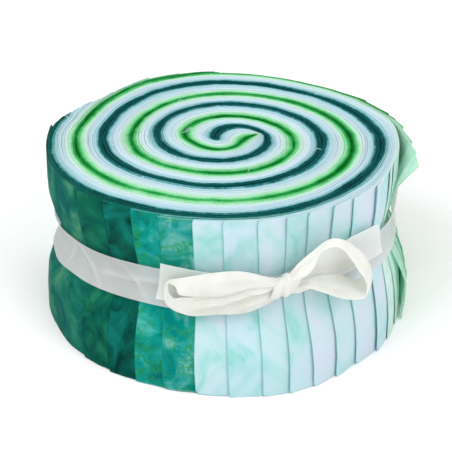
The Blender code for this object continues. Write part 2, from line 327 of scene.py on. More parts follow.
@dataclass(frozen=True)
class CutEdges:
    """The long cut edges of the stacked strips, which make the rings in the two ends.

    Along them the dyes of neighbouring strips seem to run together, because their cut
    threads fray over each other, so their colour is read across the whole stack.

    Attributes:
        stops: Place in the stack in strips, and colour there.
        strips: How many strips the stack has.
    """

    stops: tuple[tuple[float, str], ...] = (
        (0.0, "00531a"),
        (1.3, "03691f"),
        (2.7, "0c8a34"),
        (4.3, "27a64e"),
        (6.2, "5cc77c"),
        (8.6, "93dea6"),
        (11.4, "bce9cb"),
        (14.2, "cfe9e0"),
        (17.5, "d5e6ed"),
        (22.0, "cfe5ec"),
        (26.5, "bddde5"),
        (30.0, "a3d0d9"),
        (31.6, "6cb0b8"),
        (32.8, "258386"),
        (34.0, "065d5c"),
        (35.4, "02494b"),
        (36.8, "086463"),
        (38.2, "023e42"),
        (39.5, "013438"),
    )
    strips: int = 40

    FRAY_MM = 1.6
    THREAD_MM = 0.45
    PATCH_MM = 6.0
    DRIFT_MM = 34.0

    def colour(self, tree: bpy.types.NodeTree) -> bpy.types.NodeSocket:
        """Adds the colour of a cut edge.

        Args:
            tree: The node tree.

        Returns:
            The colour's socket.
        """
        where = add_node(tree, "TexCoord").outputs["Object"]
        place = add_node(tree, "Attribute", {"attribute_name": "place"}).outputs["Fac"]
        shifts = []
        for size, detail, reach in (
            (self.FRAY_MM, 1.0, 3.0),
            (self.THREAD_MM, 0.0, 1.6),
            (self.PATCH_MM, 0.0, 3.6),
        ):
            fac = add_node(
                tree, "TexNoise", Vector=where, Scale=1.0 / (size * MM), Detail=detail
            ).outputs["Fac"]
            shifts.append(
                add_node(
                    tree,
                    "MapRange",
                    {"clamp": False},
                    Value=fac,
                    To_Min=-reach / 2,
                    To_Max=reach / 2,
                ).outputs[0]
            )
        drift = add_node(
            tree, "TexNoise", Vector=where, Scale=1.0 / (self.DRIFT_MM * MM), Detail=1.0
        ).outputs["Fac"]
        pale = add_node(
            tree, "MapRange", Value=drift, From_Min=0.38, From_Max=0.66, To_Max=0.16
        ).outputs[0]
        middle = self.strips / 2
        away = add_node(tree, "Math", {"operation": "SUBTRACT"}, in0=middle, in1=place).outputs[0]
        place = add_node(
            tree, "Math", {"operation": "MULTIPLY_ADD"}, in0=away, in1=pale, in2=place
        ).outputs[0]
        for shift in shifts:
            place = add_node(tree, "Math", {"operation": "ADD"}, in0=place, in1=shift).outputs[0]
        share = add_node(
            tree, "Math", {"operation": "DIVIDE"}, in0=place, in1=float(self.strips)
        ).outputs[0]
        return add_ramp(tree, share, [(at / self.strips, code) for at, code in self.stops])

    def mask(
        self, tree: bpy.types.NodeTree, map_place: bpy.types.NodeSocket, from_end: bpy.types.NodeSocket
    ) -> bpy.types.NodeSocket:
        """Adds how far a point belongs to a cut edge.

        Args:
            tree: The node tree.
            map_place: Place on the cloth in metres.
            from_end: Distance from the strip's nearest end in metres.

        Returns:
            The socket, from 0 on the face to 1 on an edge.
        """
        across = add_node(tree, "SeparateXYZ", in0=map_place).outputs[1]
        off = add_node(tree, "Math", {"operation": "SUBTRACT"}, in0=across, in1=0.03175).outputs[0]
        off = add_node(tree, "Math", {"operation": "ABSOLUTE"}, in0=off).outputs[0]
        edge = add_node(
            tree, "MapRange", Value=off, From_Min=0.03125, From_Max=0.0316
        ).outputs[0]
        inside = add_node(
            tree, "MapRange", Value=from_end, From_Min=0.02, From_Max=0.11, To_Min=0.35
        ).outputs[0]
        return add_node(tree, "Math", {"operation": "MULTIPLY"}, in0=edge, in1=inside).outputs[0]


@dataclass(frozen=True)
class BatikCotton:
    """Quilting cotton dyed in the batik way: plain woven, matt, dyed right through.

    The dye lies in soft clouds of a few tones, and in some cloths sharp speckles stand
    over it. Light comes through the thin cloth. The weave is about 0.35 mm, too fine to
    show at a step, and is drawn at 0.55 mm so that it shows a little.

    Attributes:
        name: The finish's name.
        tones: Colours of its clouds, from the deepest to the palest.
        speckle: Colour of its fine speckles.
        edge: Colour of a thin line along its cut ends: partly the deeper dye of the frayed cut, partly
            painted shadow of the step where the strip ends.
        cloud: Size of its clouds in mm.
        speckled: How much of it is speckled, from 0 to 1.
        sheer: How much light comes through, from 0 to 1.
        seed: Moves the pattern, so that no two cloths have the same.
    """

    name: str
    tones: tuple[str, str, str, str]
    speckle: str
    edge: str
    cloud: float = 15.0
    speckled: float = 0.0
    sheer: float = 0.06
    seed: float = 0.0

    SPECKLE_MM = 1.1
    WEAVE_MM = 0.55
    END_MM = 0.3
    FREE_MM = 45.0  # how much of an end is free enough for light to come through it
    FREE_FADE_MM = 15.0

    def material(self) -> bpy.types.Material:
        """Makes the material.

        Returns:
            The material.
        """
        made, tree = new_material(self.name)
        place = add_node(tree, "UVMap", {"uv_map": "cloth"}).outputs["UV"]
        from_end = add_node(tree, "Attribute", {"attribute_name": "end"}).outputs["Fac"]
        own = add_node(tree, "Attribute", {"attribute_name": "place"}).outputs["Fac"]
        spread = add_node(tree, "Math", {"operation": "MULTIPLY"}, in0=own, in1=0.0137).outputs[0]
        moved = add_node(
            tree,
            "VectorMath",
            {"operation": "ADD"},
            in0=place,
            in1=(self.seed * 0.37, self.seed * 0.11, self.seed * 0.53),
        ).outputs[0]
        moved = add_node(
            tree, "VectorMath", {"operation": "ADD"}, in0=moved, in1=spread
        ).outputs[0]
        clouds = self._noise(tree, moved, self.cloud, 3.5, 1.1)
        colour = add_ramp(
            tree, clouds, list(zip((0.34, 0.45, 0.55, 0.67), self.tones, strict=True))
        )
        specks = self._noise(tree, moved, self.SPECKLE_MM, 3.0, 0.2)
        specked = add_node(tree, "MapRange", Value=specks, From_Min=0.40, From_Max=0.64).outputs[0]
        patches = self._noise(tree, moved, 8.0, 2.0, 0.8)
        patched = add_node(
            tree,
            "MapRange",
            {"interpolation_type": "SMOOTHSTEP"},
            Value=patches,
            From_Min=0.62 - 0.20 * self.speckled,
            From_Max=0.76 - 0.20 * self.speckled,
            To_Max=min(1.0, 1.2 * self.speckled),
        ).outputs[0]
        speckles = add_node(
            tree, "Math", {"operation": "MULTIPLY"}, in0=specked, in1=patched
        ).outputs[0]
        colour = self._mix(tree, speckles, colour, srgb(self.speckle))
        # A thin line along each end in the edge colour: partly the cut's deeper dye, partly painted shadow
        # of the step where the strip ends.
        ending = add_node(
            tree,
            "MapRange",
            Value=from_end,
            From_Min=0.5 * self.END_MM * MM,
            From_Max=self.END_MM * MM,
            To_Min=0.75,
            To_Max=0.0,
        ).outputs[0]
        colour = self._mix(tree, ending, colour, srgb(self.edge))
        weave = self._weave(tree, place)
        shade = add_node(tree, "MapRange", Value=weave, To_Min=0.98, To_Max=1.01).outputs[0]
        woven = add_node(
            tree, "VectorMath", {"operation": "SCALE"}, in0=colour, Scale=shade
        ).outputs[0]
        cuts = CutEdges()
        cut = cuts.mask(tree, place, from_end)
        shown = self._mix(tree, cut, woven, cuts.colour(tree))
        bump = add_node(tree, "Bump", Strength=0.18, Distance=0.00006, Height=weave)
        shader = add_node(
            tree,
            "BsdfPrincipled",
            Base_Color=shown,
            Roughness=0.95,
            IOR=1.5,
            Specular_IOR_Level=0.05,
            Sheen_Weight=0.02,
            Sheen_Roughness=0.5,
            Normal=bump.outputs[0],
        )
        through = add_node(tree, "BsdfTranslucent", Color=shown)
        near_end = add_node(
            tree,
            "MapRange",
            Value=from_end,
            From_Min=self.FREE_MM * MM,
            From_Max=(self.FREE_MM + self.FREE_FADE_MM) * MM,
            To_Min=self.sheer,
            To_Max=0.0,
        ).outputs[0]
        face = add_node(tree, "Math", {"operation": "SUBTRACT"}, in0=1.0, in1=cut).outputs[0]
        light = add_node(
            tree, "Math", {"operation": "MULTIPLY"}, in0=near_end, in1=face
        ).outputs[0]
        both = add_node(
            tree, "MixShader", Fac=light, in1=shader.outputs[0], in2=through.outputs[0]
        )
        add_node(tree, "OutputMaterial", Surface=both.outputs[0])
        return made

    @staticmethod
    def _noise(
        tree: bpy.types.NodeTree,
        place: bpy.types.NodeSocket,
        size: float,
        detail: float,
        warp: float,
    ) -> bpy.types.NodeSocket:
        """Adds a noise whose patches are so many millimetres across."""
        node = add_node(
            tree,
            "TexNoise",
            Vector=place,
            Scale=1.0 / (size * MM),
            Detail=detail,
            Roughness=0.55,
            Distortion=warp,
        )
        return node.outputs["Fac"]

    @staticmethod
    def _mix(
        tree: bpy.types.NodeTree,
        share: bpy.types.NodeSocket,
        first: object,
        second: object,
    ) -> bpy.types.NodeSocket:
        """Adds a mix of two colours."""
        node = add_node(tree, "Mix", {"data_type": "RGBA"}, in0=share, in6=first, in7=second)
        return node.outputs[2]

    def _weave(
        self, tree: bpy.types.NodeTree, place: bpy.types.NodeSocket
    ) -> bpy.types.NodeSocket:
        """Adds the height of a plain weave, warp over weft in turn."""
        turns = math.pi / (self.WEAVE_MM * MM)
        split = add_node(tree, "SeparateXYZ", in0=place)
        waves = []
        for axis in (0, 1):
            scaled = add_node(
                tree, "Math", {"operation": "MULTIPLY"}, in0=split.outputs[axis], in1=turns
            ).outputs[0]
            waves.append(add_node(tree, "Math", {"operation": "SINE"}, in0=scaled).outputs[0])
        crossed = add_node(
            tree, "Math", {"operation": "MULTIPLY"}, in0=waves[0], in1=waves[1]
        ).outputs[0]
        return add_node(tree, "MapRange", Value=crossed, From_Min=-1.0).outputs[0]


@dataclass(frozen=True)
class SheerRibbon:
    """Sheer polyester ribbon: thin, plain woven, half see-through, with a soft sheen.

    One layer lets the cloth below show as a grey cast, and several layers look cream, partly through soft
    patches of painted fold shade.
    Its threads are 0.2 mm apart and are drawn at 0.5 mm so that they show a little.

    Attributes:
        name: The finish's name.
        colour: Colour of the threads.
        fold: Colour of soft patches laid by noise, which paint the light and shade of folds without
            following them.
        cover: How much of the ground its threads cover.
    """

    name: str
    colour: str
    fold: str
    cover: float

    THREAD_MM = 0.5
    FOLD_COVER = 0.34  # how much more a fold covers, where the ribbon lies double

    def material(self) -> bpy.types.Material:
        """Makes the material.

        Returns:
            The material.
        """
        made, tree = new_material(self.name)
        place = add_node(tree, "UVMap", {"uv_map": "cloth"}).outputs["UV"]
        turns = 2 * math.pi / (self.THREAD_MM * MM)
        split = add_node(tree, "SeparateXYZ", in0=place)
        waves = []
        for axis in (0, 1):
            scaled = add_node(
                tree, "Math", {"operation": "MULTIPLY"}, in0=split.outputs[axis], in1=turns
            ).outputs[0]
            waves.append(add_node(tree, "Math", {"operation": "SINE"}, in0=scaled).outputs[0])
        crossed = add_node(
            tree, "Math", {"operation": "MAXIMUM"}, in0=waves[0], in1=waves[1]
        ).outputs[0]
        # Soft noise patches in the fold colour: painted light and shade of folds, not placed on the folds.
        soft = add_node(
            tree, "TexNoise", Vector=place, Scale=1.0 / (7.0 * MM), Detail=2.0, Distortion=0.6
        ).outputs["Fac"]
        tone = add_node(tree, "MapRange", Value=soft, From_Min=0.4, From_Max=0.7).outputs[0]
        colour = add_node(
            tree,
            "Mix",
            {"data_type": "RGBA"},
            in0=tone,
            in6=srgb(self.colour),
            in7=srgb(self.fold),
        ).outputs[2]
        cover = add_node(
            tree,
            "MapRange",
            Value=crossed,
            From_Min=-1.0,
            To_Min=self.cover - 0.06,
            To_Max=min(1.0, self.cover + 0.05),
        ).outputs[0]
        fold = add_node(tree, "Attribute", {"attribute_name": "fold"}).outputs["Fac"]
        cover = add_node(
            tree,
            "Math",
            {"operation": "MULTIPLY_ADD", "use_clamp": True},
            in0=fold,
            in1=self.FOLD_COVER,
            in2=cover,
        ).outputs[0]
        bump = add_node(tree, "Bump", Strength=0.2, Distance=0.00005, Height=crossed)
        shader = add_node(
            tree,
            "BsdfPrincipled",
            Base_Color=colour,
            Roughness=0.5,
            IOR=1.5,
            Specular_IOR_Level=0.3,
            Sheen_Weight=0.1,
            Sheen_Roughness=0.35,
            Normal=bump.outputs[0],
        )
        through = add_node(tree, "BsdfTranslucent", Color=colour)
        cloth = add_node(
            tree, "MixShader", Fac=0.42, in1=shader.outputs[0], in2=through.outputs[0]
        )
        clear = add_node(tree, "BsdfTransparent")
        shown = add_node(
            tree, "MixShader", Fac=cover, in1=clear.outputs[0], in2=cloth.outputs[0]
        )
        add_node(tree, "OutputMaterial", Surface=shown.outputs[0])
        return made


class Dye(Enum):
    """The dyed cottons of the roll, from the outside of the stack to its inside."""

    DARK_GREEN = BatikCotton(
        "dark green batik", ("04591f", "067030", "0f8a3f", "36a75f"), "7cc98f", "0b7a40", seed=1
    )
    GREEN = BatikCotton(
        "green batik",
        ("128f40", "33ad60", "58c47f", "97dca8"),
        "a8dcae",
        "1f8f50",
        sheer=0.3,
        seed=2,
    )
    LEAF = BatikCotton(
        "leaf green batik",
        ("a8e8ba", "bdeec8", "d2f4d8", "e4fae0"),
        "e8fae0",
        "6fd09c",
        sheer=0.6,
        seed=3,
    )
    # Its tones are paler than the cloth: partly they make up for light passing both faces of the drawn
    # sheet, partly they are painted light that brightens the shaded inside of the loose ends.
    MINT = BatikCotton(
        "mint batik",
        ("d4f5e6", "def8ec", "e7faf2", "f0fdf8"),
        "c9f2e0",
        "8fdcbc",
        sheer=0.6,
        seed=4,
    )
    PALE_GREEN = BatikCotton(
        "pale green batik", ("b9e1cd", "c7e7da", "d0eae3", "d8edea"), "a9dec3", "7fd0c2", seed=5
    )
    LILAC_BLUE = BatikCotton(
        "lilac blue batik", ("b6dfe2", "c6e2e8", "d0e2eb", "d5dfee"), "aee0dc", "86d2d8", 20, seed=6
    )
    PALE_BLUE = BatikCotton(
        "pale blue batik", ("aadcdb", "bfe1e4", "cbe3ea", "d2e0ed"), "a2dad5", "7fcdd4", 18, seed=7
    )
    SKY_BLUE = BatikCotton(
        "sky blue batik", ("9bd9d4", "b7dfe2", "c5e2e8", "cde1ed"), "98d6cf", "7ccbd2", 16, seed=8
    )
    AQUA = BatikCotton(
        "aqua batik", ("92d7d0", "afdcdf", "c0e1e7", "cbe2ed"), "90d3cb", "76c7ce", 16, seed=9
    )
    SAGE = BatikCotton(
        "sage batik",
        ("00807a", "0c9088", "3fa39b", "7fbcb4"),
        "2c9460",
        "1f8f86",
        11,
        0.95,
        seed=10,
    )
    SEA_GREEN = BatikCotton(
        "sea green batik",
        ("016e6a", "058a80", "159a90", "4cb0a6"),
        "268c4e",
        "0c7a70",
        10,
        0.95,
        seed=11,
    )
    TEAL = BatikCotton(
        "teal batik",
        ("01352f", "024a41", "045c51", "0d766e"),
        "0c6449",
        "02403a",
        12,
        0.6,
        seed=12,
    )
    DARK_TEAL = BatikCotton(
        "dark teal batik",
        ("01433c", "03594a", "0b6650", "227a59"),
        "2d6a35",
        "02403a",
        12,
        0.5,
        seed=13,
    )
    GREY_TEAL = BatikCotton(
        "grey teal batik",
        ("01544f", "0a665b", "237763", "478a68"),
        "1c6f4a",
        "034a43",
        14,
        0.5,
        seed=14,
    )


# The folded stack and how it is wound


class Ply:
    """One or more strips of a dye whose ends lie together, outermost first."""

    ENDS = (
        (148.0, 148.0, 1, Dye.DARK_GREEN),
        (157.0, 157.0, 1, Dye.DARK_GREEN),
        (161.0, 161.0, 1, Dye.GREEN),
        (165.1, 165.1, 2, Dye.GREEN),
        (171.6, 171.6, 2, Dye.LEAF),
        (183.0, 182.0, 2, Dye.MINT),
        (190.8, 189.5, 1, Dye.MINT),
        (199.2, 197.5, 1, Dye.MINT),
        (202.0, 201.5, 1, Dye.PALE_GREEN),
        (207.1, 210.8, 1, Dye.PALE_GREEN),
        (217.8, 218.7, 2, Dye.LILAC_BLUE),
        (229.0, 228.7, 2, Dye.LILAC_BLUE),
        (236.9, 237.5, 2, Dye.PALE_BLUE),
        (245.8, 246.1, 2, Dye.LILAC_BLUE),
        (252.5, 252.8, 2, Dye.SKY_BLUE),
        (261.3, 260.3, 2, Dye.PALE_BLUE),
        (271.4, 269.5, 2, Dye.AQUA),
        (280.5, 278.4, 2, Dye.SKY_BLUE),
        (290.8, 287.8, 2, Dye.SAGE),
        (300.1, 296.7, 2, Dye.SEA_GREEN),
        (310.6, 306.0, 2, Dye.TEAL),
        (321.5, 317.3, 2, Dye.DARK_TEAL),
        (370.7, 370.7, 2, Dye.GREY_TEAL),
        (376.0, 376.0, 1, Dye.DARK_TEAL),
    )


@dataclass(frozen=True)
class Strip:
    """One cotton strip of the stack.

    Attributes:
        number: Its place in the stack, 0 at the green outside.
        top_end: Angle of its outer leg's end at the top.
        foot_end: The same at the foot.
        dye: Its cotton.
        shown: Whether it is the outermost of its ply; not used.
    """

    number: int
    top_end: float
    foot_end: float
    dye: Dye
    shown: bool


def stack_of_strips() -> list[Strip]:
    """Lists the strips from the green outside of the stack to its teal inside.

    Returns:
        The forty strips.
    """
    strips: list[Strip] = []
    for top_end, foot_end, count, dye in Ply.ENDS:
        for one in range(count):
            back = 0.35 * one
            strips.append(
                Strip(len(strips), top_end - back, foot_end - back, dye, one == 0)
            )
    return strips


@dataclass(frozen=True)
class Winding:
    """The wound form: two spiral lines seen in the ends, and the wall around them.

    Along the teal line the inside faces of the folded stack meet, and along the green
    line its outside faces do. Each shift is how far a line lies outside an even spiral,
    every 20 degrees from 0, with a row for each turn.
    """

    centre: tuple[float, float] = (-0.785, 5.633)
    width: float = 63.5
    strips: int = 40
    stack: float = 10.0
    pitch: float = 20.0
    green_start: float = 14.05
    teal_start: float = 24.05
    teal_first: float = -176.0
    shift_step: float = 20.0

    TEAL_SHIFTS = (
        (0.7, 1.1, 1.5, 1.6, 1.3, 0.6, -0.1, -0.6, -0.1)
        + (0.1, -0.2, -0.3, -0.4, -0.1, -0.1, -0.7, 0.0, 0.9),
        (0.6, -0.5, 0.3, 1.9, 1.9, 0.2, -1.3, -1.2, -0.4)
        + (0.9, 0.6, 0.5, 2.0, 2.8, 2.2, 1.7, 2.3, 1.6),
        (0.2, -2.3, -2.3),
    )
    GREEN_SHIFTS = (
        (0.4, 0.8, 0.7, 0.9, 0.5, -0.4, -0.9, -1.3, -1.1)
        + (-0.4, 0.2, 0.1, 0.4, 0.3, -0.3, -0.5, 0.2, 0.6),
        (0.0, -0.7, -0.3, 0.5, 0.8, 0.0, -1.0, -1.0, -0.5)
        + (0.4, 1.0, 1.2, 1.4, 1.5, 0.7, -0.2, 0.7, 0.9),
        (0.0, -1.3, -0.4, 1.9, 1.8, -0.8, -2.4, -1.8, -0.8),
    )
    # The lines' starts near the middle: x, y from its centre
    TEAL_HEART = (
        (-3.8, -0.3),
        (-4.0, 2.7),
        (-2.8, 6.3),
        (-0.4, 8.7),
        (2.8, 10.0),
        (6.2, 9.6),
        (9.2, 7.7),
        (11.8, 4.9),
        (14.0, 1.7),
        (14.2, -1.0),
    )
    GREEN_HEART = (
        (10.7, 3.5),
        (9.4, 2.3),
        (7.2, 0.1),
        (5.2, -3.5),
        (3.2, -6.9),
        (0.4, -9.1),
        (-2.4, -9.7),
        (-5.8, -8.9),
        (-9.0, -6.9),
        (-11.8, -3.9),
        (-14.4, 0.0),
    )
    # The outside of the roll: angle, radius at the top, radius at the foot
    OUTSIDE = (
        (0, 64.5, 66.1),
        (10, 64.6, 65.9),
        (16, 63.0, 64.8),
        (26, 61.0, 62.6),
        (38, 59.0, 60.6),
        (50, 60.4, 62.0),
        (62, 62.2, 63.8),
        (76, 62.0, 63.6),
        (93, 60.0, 61.6),
        (108, 58.7, 60.4),
        (123, 58.5, 60.4),
        (134, 59.6, 61.4),
        (148, 61.7, 63.2),
        (158, 62.4, 63.8),
        (180, 61.8, 63.6),
        (199, 62.2, 65.0),
        (207, 63.2, 66.2),
        (218, 64.6, 67.6),
        (229, 64.7, 68.1),
        (237, 64.9, 70.0),
        (246, 65.6, 72.3),
        (256, 65.8, 73.4),
        (270, 65.3, 72.5),
        (280, 64.6, 71.2),
        (298, 64.2, 69.5),
        (309, 64.4, 68.8),
        (320, 65.3, 67.8),
        (340, 64.9, 66.0),
    )
    FLARE_FROM = 34.0
    FLARE_FULL = 8.0
    # The ribbon round the waist: angle, height of its middle, how far it pulls in
    RIBBON_PATH = (
        (0, 31.0, 5.4),
        (40, 31.5, 4.4),
        (90, 33.5, 3.2),
        (150, 36.5, 4.0),
        (184, 37.5, 5.0),
        (210, 38.0, 1.9),
        (252, 37.5, 2.6),
        (290, 35.5, 3.0),
        (325, 34.5, 3.8),
        (345, 32.5, 4.8),
    )
    PULL_REACH = 9.5
    PRESS_DEPTH = 22.0  # how deep under the wall its waist and flare are felt
    # Where the strips of the inner leg end: number of the strip, angle past 360
    INNER_ENDS = (
        (0, 90.0),
        (3, 85.0),
        (6, 76.0),
        (8, 64.0),
        (10, 54.0),
        (12, 45.0),
        (15, 38.0),
        (18, 35.0),
        (24, 29.0),
        (29, 23.0),
        (33, 20.0),
        (40, 17.5),
    )
    # The loose ends: number of the first and the last strip, where they leave the roll
    # and where the longest ends, and how far its top and foot stand off
    LOOSE_FIRST = 2
    LOOSE_LAST = 10
    LOOSE_FROM = 160.0
    LOOSE_TO = 199.2
    LOOSE_TOP = 8.0
    LOOSE_BELLY = 3.9
    LOOSE_FOOT = 1.2
    LOOSE_ROOT = 52.0  # height above which their tops stand off
    LOOSE_GAP = 0.15
    LOOSE_PLY = 0.25
    RIBBON_HALF = 8.5  # half the height that the ribbon holds flat

    def to_world(self, points: np.ndarray, heights: np.ndarray) -> np.ndarray:
        """Moves plan points from the winding's centre to the frame.

        Args:
            points: Plan points in mm, the last axis holding x and y.
            heights: Their heights in mm.

        Returns:
            Points in metres, the last axis holding x, y and z.
        """
        plan = points + np.array(self.centre)
        return np.concatenate([plan, heights[..., None]], axis=-1) * MM

    @staticmethod
    def polar(angle: np.ndarray, radius: np.ndarray) -> np.ndarray:
        """Turns an angle in degrees and a radius into a plan point."""
        turn = np.radians(angle)
        return np.stack([-radius * np.cos(turn), radius * np.sin(turn)], axis=-1)

    def _line(self, start: float, shifts: tuple, angle: np.ndarray) -> np.ndarray:
        """Reads the radius of a spiral line at an angle."""
        values = np.array([value for row in shifts for value in row])
        known = np.arange(len(values)) * self.shift_step
        place = np.clip(np.asarray(angle, float), 0.0, known[-1]) / self.shift_step
        low = np.minimum(place.astype(int), len(values) - 2)
        share = ease(place - low)
        shift = values[low] + (values[low + 1] - values[low]) * share
        fade = ease((np.asarray(angle, float) + 60.0) / 60.0)
        return start + self.pitch * np.asarray(angle, float) / 360.0 + shift * fade

    def teal(self, angle: np.ndarray) -> np.ndarray:
        """Reads the radius of the teal line."""
        return self._line(self.teal_start, self.TEAL_SHIFTS, angle)

    def green(self, angle: np.ndarray) -> np.ndarray:
        """Reads the radius of the green line."""
        return self._line(self.green_start, self.GREEN_SHIFTS, angle)

    def top_wall(self, angle: np.ndarray) -> np.ndarray:
        """Reads the outside radius at the top."""
        return around(self.OUTSIDE, angle, 1)

    def wall(self, angle: np.ndarray, height: np.ndarray) -> np.ndarray:
        """Reads the outside radius at a height, with the waist and the flare.

        Args:
            angle: Angles in degrees.
            height: Heights in mm.

        Returns:
            Radii in mm.
        """
        top = around(self.OUTSIDE, angle, 1)
        foot = around(self.OUTSIDE, angle, 2)
        flare = ease((self.FLARE_FROM - height) / (self.FLARE_FROM - self.FLARE_FULL))
        middle = around(self.RIBBON_PATH, angle, 1)
        pull = around(self.RIBBON_PATH, angle, 2)
        waist = pull * np.exp(-(((height - middle) / self.PULL_REACH) ** 2))
        return top + (foot - top) * flare - waist

    def pressed(self, angle: np.ndarray, radius: np.ndarray, height: np.ndarray) -> np.ndarray:
        """Moves a radius with the waist and the flare of the wall outside it.

        Args:
            angle: Angles in degrees.
            radius: Radii at the top in mm.
            height: Heights in mm.

        Returns:
            Radii at the heights in mm.
        """
        depth = self.top_wall(angle) - radius
        felt = 1.0 - ease(depth / self.PRESS_DEPTH)
        return radius + (self.wall(angle, height) - self.top_wall(angle)) * felt

    def loose_reach(self, height: np.ndarray) -> np.ndarray:
        """Reads how far the longest loose end stands off the roll at a height."""
        above = np.clip((height - self.LOOSE_ROOT) / (self.width - self.LOOSE_ROOT), 0, 1)
        top = self.LOOSE_TOP * above**1.2
        belly = self.LOOSE_BELLY * ease((32.0 - height) / 22.0)
        tuck = (self.LOOSE_BELLY - self.LOOSE_FOOT) * ease((18.0 - height) / 18.0)
        return top + belly - tuck

    def held(self, angle: np.ndarray, height: np.ndarray) -> np.ndarray:
        """Tells how free cloth is of the ribbon, from 0 under it to 1 at the edges."""
        middle = around(self.RIBBON_PATH, angle, 1)
        above = (height - middle - self.RIBBON_HALF) / (self.width - middle - self.RIBBON_HALF)
        below = (middle - self.RIBBON_HALF - height) / (middle - self.RIBBON_HALF)
        return np.where(height > middle, ease(above), np.sqrt(ease(below)))


@dataclass
class StripRoll:
    """The wound cotton strips, each one closed thin mesh from end to end.

    Attributes:
        winding: The wound form.
        step: Length of a column of faces in mm.
        heights: Heights of the rows in mm.
        cloth: Share of its place that a strip's thickness takes.
    """

    winding: Winding
    step: float = 3.4
    heights: tuple[float, ...] = (
        (0.0, 1.2, 8.0, 15.0, 20.5, 25.0, 29.0, 33.0, 37.0, 41.5)
        + (48.0, 53.5, 58.5, 62.3, 63.5)
    )
    cloth: float = 0.9

    END_LENGTH = 10.0  # how much of an end slants and curls, in degrees
    END_CURL = 0.35
    CORNER = 0.35  # how far an end's corners are rounded off, in degrees
    HEIGHT_SPREAD = 0.14
    WAVE = 0.16
    FLAT = (0.0635, 1.118)

    def __post_init__(self) -> None:
        """Works out where the strips end and the rungs of the heart."""
        self.strips = stack_of_strips()
        self.ends = np.array([strip.top_end for strip in self.strips])
        self.rng = np.random.default_rng(7)
        numbers = [row[0] for row in self.winding.INNER_ENDS]
        angles = [row[1] for row in self.winding.INNER_ENDS]
        self.inner_ends = np.interp(np.arange(len(self.strips)) + 0.5, numbers, angles)
        self.green_rungs, self.teal_rungs = self._heart_rungs()

    def _gone(self, angle: np.ndarray) -> np.ndarray:
        """Counts the strips whose outer legs have ended, eased between ends."""
        ends = np.concatenate([self.ends, [self.ends[-1] + 1.0]])
        order = np.maximum.accumulate(ends)
        return np.interp(angle, order, np.arange(len(order)), left=0.0)

    def _left(self, angle: np.ndarray) -> np.ndarray:
        """Counts the strips whose inner legs go on past an angle."""
        return np.interp(angle, self.inner_ends[::-1], np.arange(len(self.inner_ends), 0, -1) - 0.0)

    def _heart_rungs(self) -> tuple[np.ndarray, np.ndarray]:
        """Pairs points of the green and the teal line through the heart.

        Returns:
            Points of the green line and of the teal line, from the outer leg through
            the nose of the fold to the inner leg.
        """
        form = self.winding
        teal = smooth_line(form.TEAL_HEART, 6)
        green = smooth_line(form.GREEN_HEART, 6)
        teal_in, green_in = teal[::-1], green[::-1]
        pinch_teal, nose_green = 0.865, 0.735
        parts = []
        shares = np.linspace(0, 1, 22, endpoint=False)
        outer_green = form.polar(184 * (1 - shares), form.green(184 * (1 - shares)))
        parts.append((outer_green, even_points(teal_in, shares)))
        shares = np.linspace(0, 1, 16, endpoint=False)
        parts.append(
            (even_points(green_in, shares * nose_green), np.repeat(teal[:1], len(shares), 0))
        )
        shares = np.linspace(0, 1, 12, endpoint=False)
        parts.append(
            (
                even_points(green_in, nose_green + (1 - nose_green) * shares),
                even_points(teal, pinch_teal * shares),
            )
        )
        shares = np.linspace(0, 1, 5, endpoint=False)
        parts.append(
            (
                np.repeat(green[:1], len(shares), 0),
                even_points(teal, pinch_teal + (1 - pinch_teal) * shares),
            )
        )
        shares = np.linspace(0, 1, 22, endpoint=False)
        turned = form.teal_first * (1 - shares)
        parts.append((even_points(green, shares), form.polar(turned, form.teal(turned))))
        greens = np.vstack([part[0] for part in parts])
        teals = np.vstack([part[1] for part in parts])
        return greens, teals

    def _grid(self, first: float, last: float) -> np.ndarray:
        """Divides a spiral between two angles into columns of about one step."""
        angles = [first]
        while angles[-1] < last:
            radius = max(12.0, 19.0 + self.winding.pitch * angles[-1] / 360.0)
            angles.append(angles[-1] + math.degrees(self.step / radius))
        return np.array(angles[:-1])

    def _outer_radius(self, angle: np.ndarray, place: np.ndarray, height: np.ndarray) -> np.ndarray:
        """Reads the radius of a place in the outer leg.

        Args:
            angle: Angles along the spiral in degrees.
            place: Places in the stack in strips, 0 at its green outside.
            height: Heights in mm.

        Returns:
            Radii in mm.
        """
        form = self.winding
        inside = form.teal(angle)
        onto_wall = ease((angle - 435.0) / 35.0)
        wall = form.top_wall(angle)
        outside = form.green(angle + 360.0) * (1 - onto_wall) + wall * onto_wall
        beyond = angle - 360.0
        gone = np.where(beyond > self.ends[0], self._gone(beyond), 0.0)
        count = len(self.strips)
        plain = inside + (outside - inside) * (count - place) / (count - gone)
        under = count - (form.LOOSE_LAST + 1)
        before = under / (count - gone)
        settled = ease((beyond - form.LOOSE_FROM + 6.0) / 18.0)
        roll_side = inside + (outside - inside) * (before + (1 - before) * settled)
        loose_zone = (beyond > self.ends[0]) & (beyond < form.LOOSE_TO + 2.0)
        own = inside + (roll_side - inside) * (count - place) / under
        share = np.clip((beyond - form.LOOSE_FROM) / (form.LOOSE_TO - form.LOOSE_FROM), 0, 1)
        lift = form.LOOSE_GAP * ease(share * 8) + form.loose_reach(height) * share**1.7
        loose = roll_side + lift + form.LOOSE_PLY * (form.LOOSE_LAST + 1 - place)
        joined = ease((beyond - self.ends[0]) / 6.0)
        is_loose = place < form.LOOSE_LAST + 1
        sprung = np.where(is_loose, loose, own)
        radius = np.where(loose_zone, plain + (sprung - plain) * joined, plain)
        bent = form.pressed(angle, np.minimum(radius, form.top_wall(angle)), height)
        return bent + np.maximum(radius - form.top_wall(angle), 0.0)

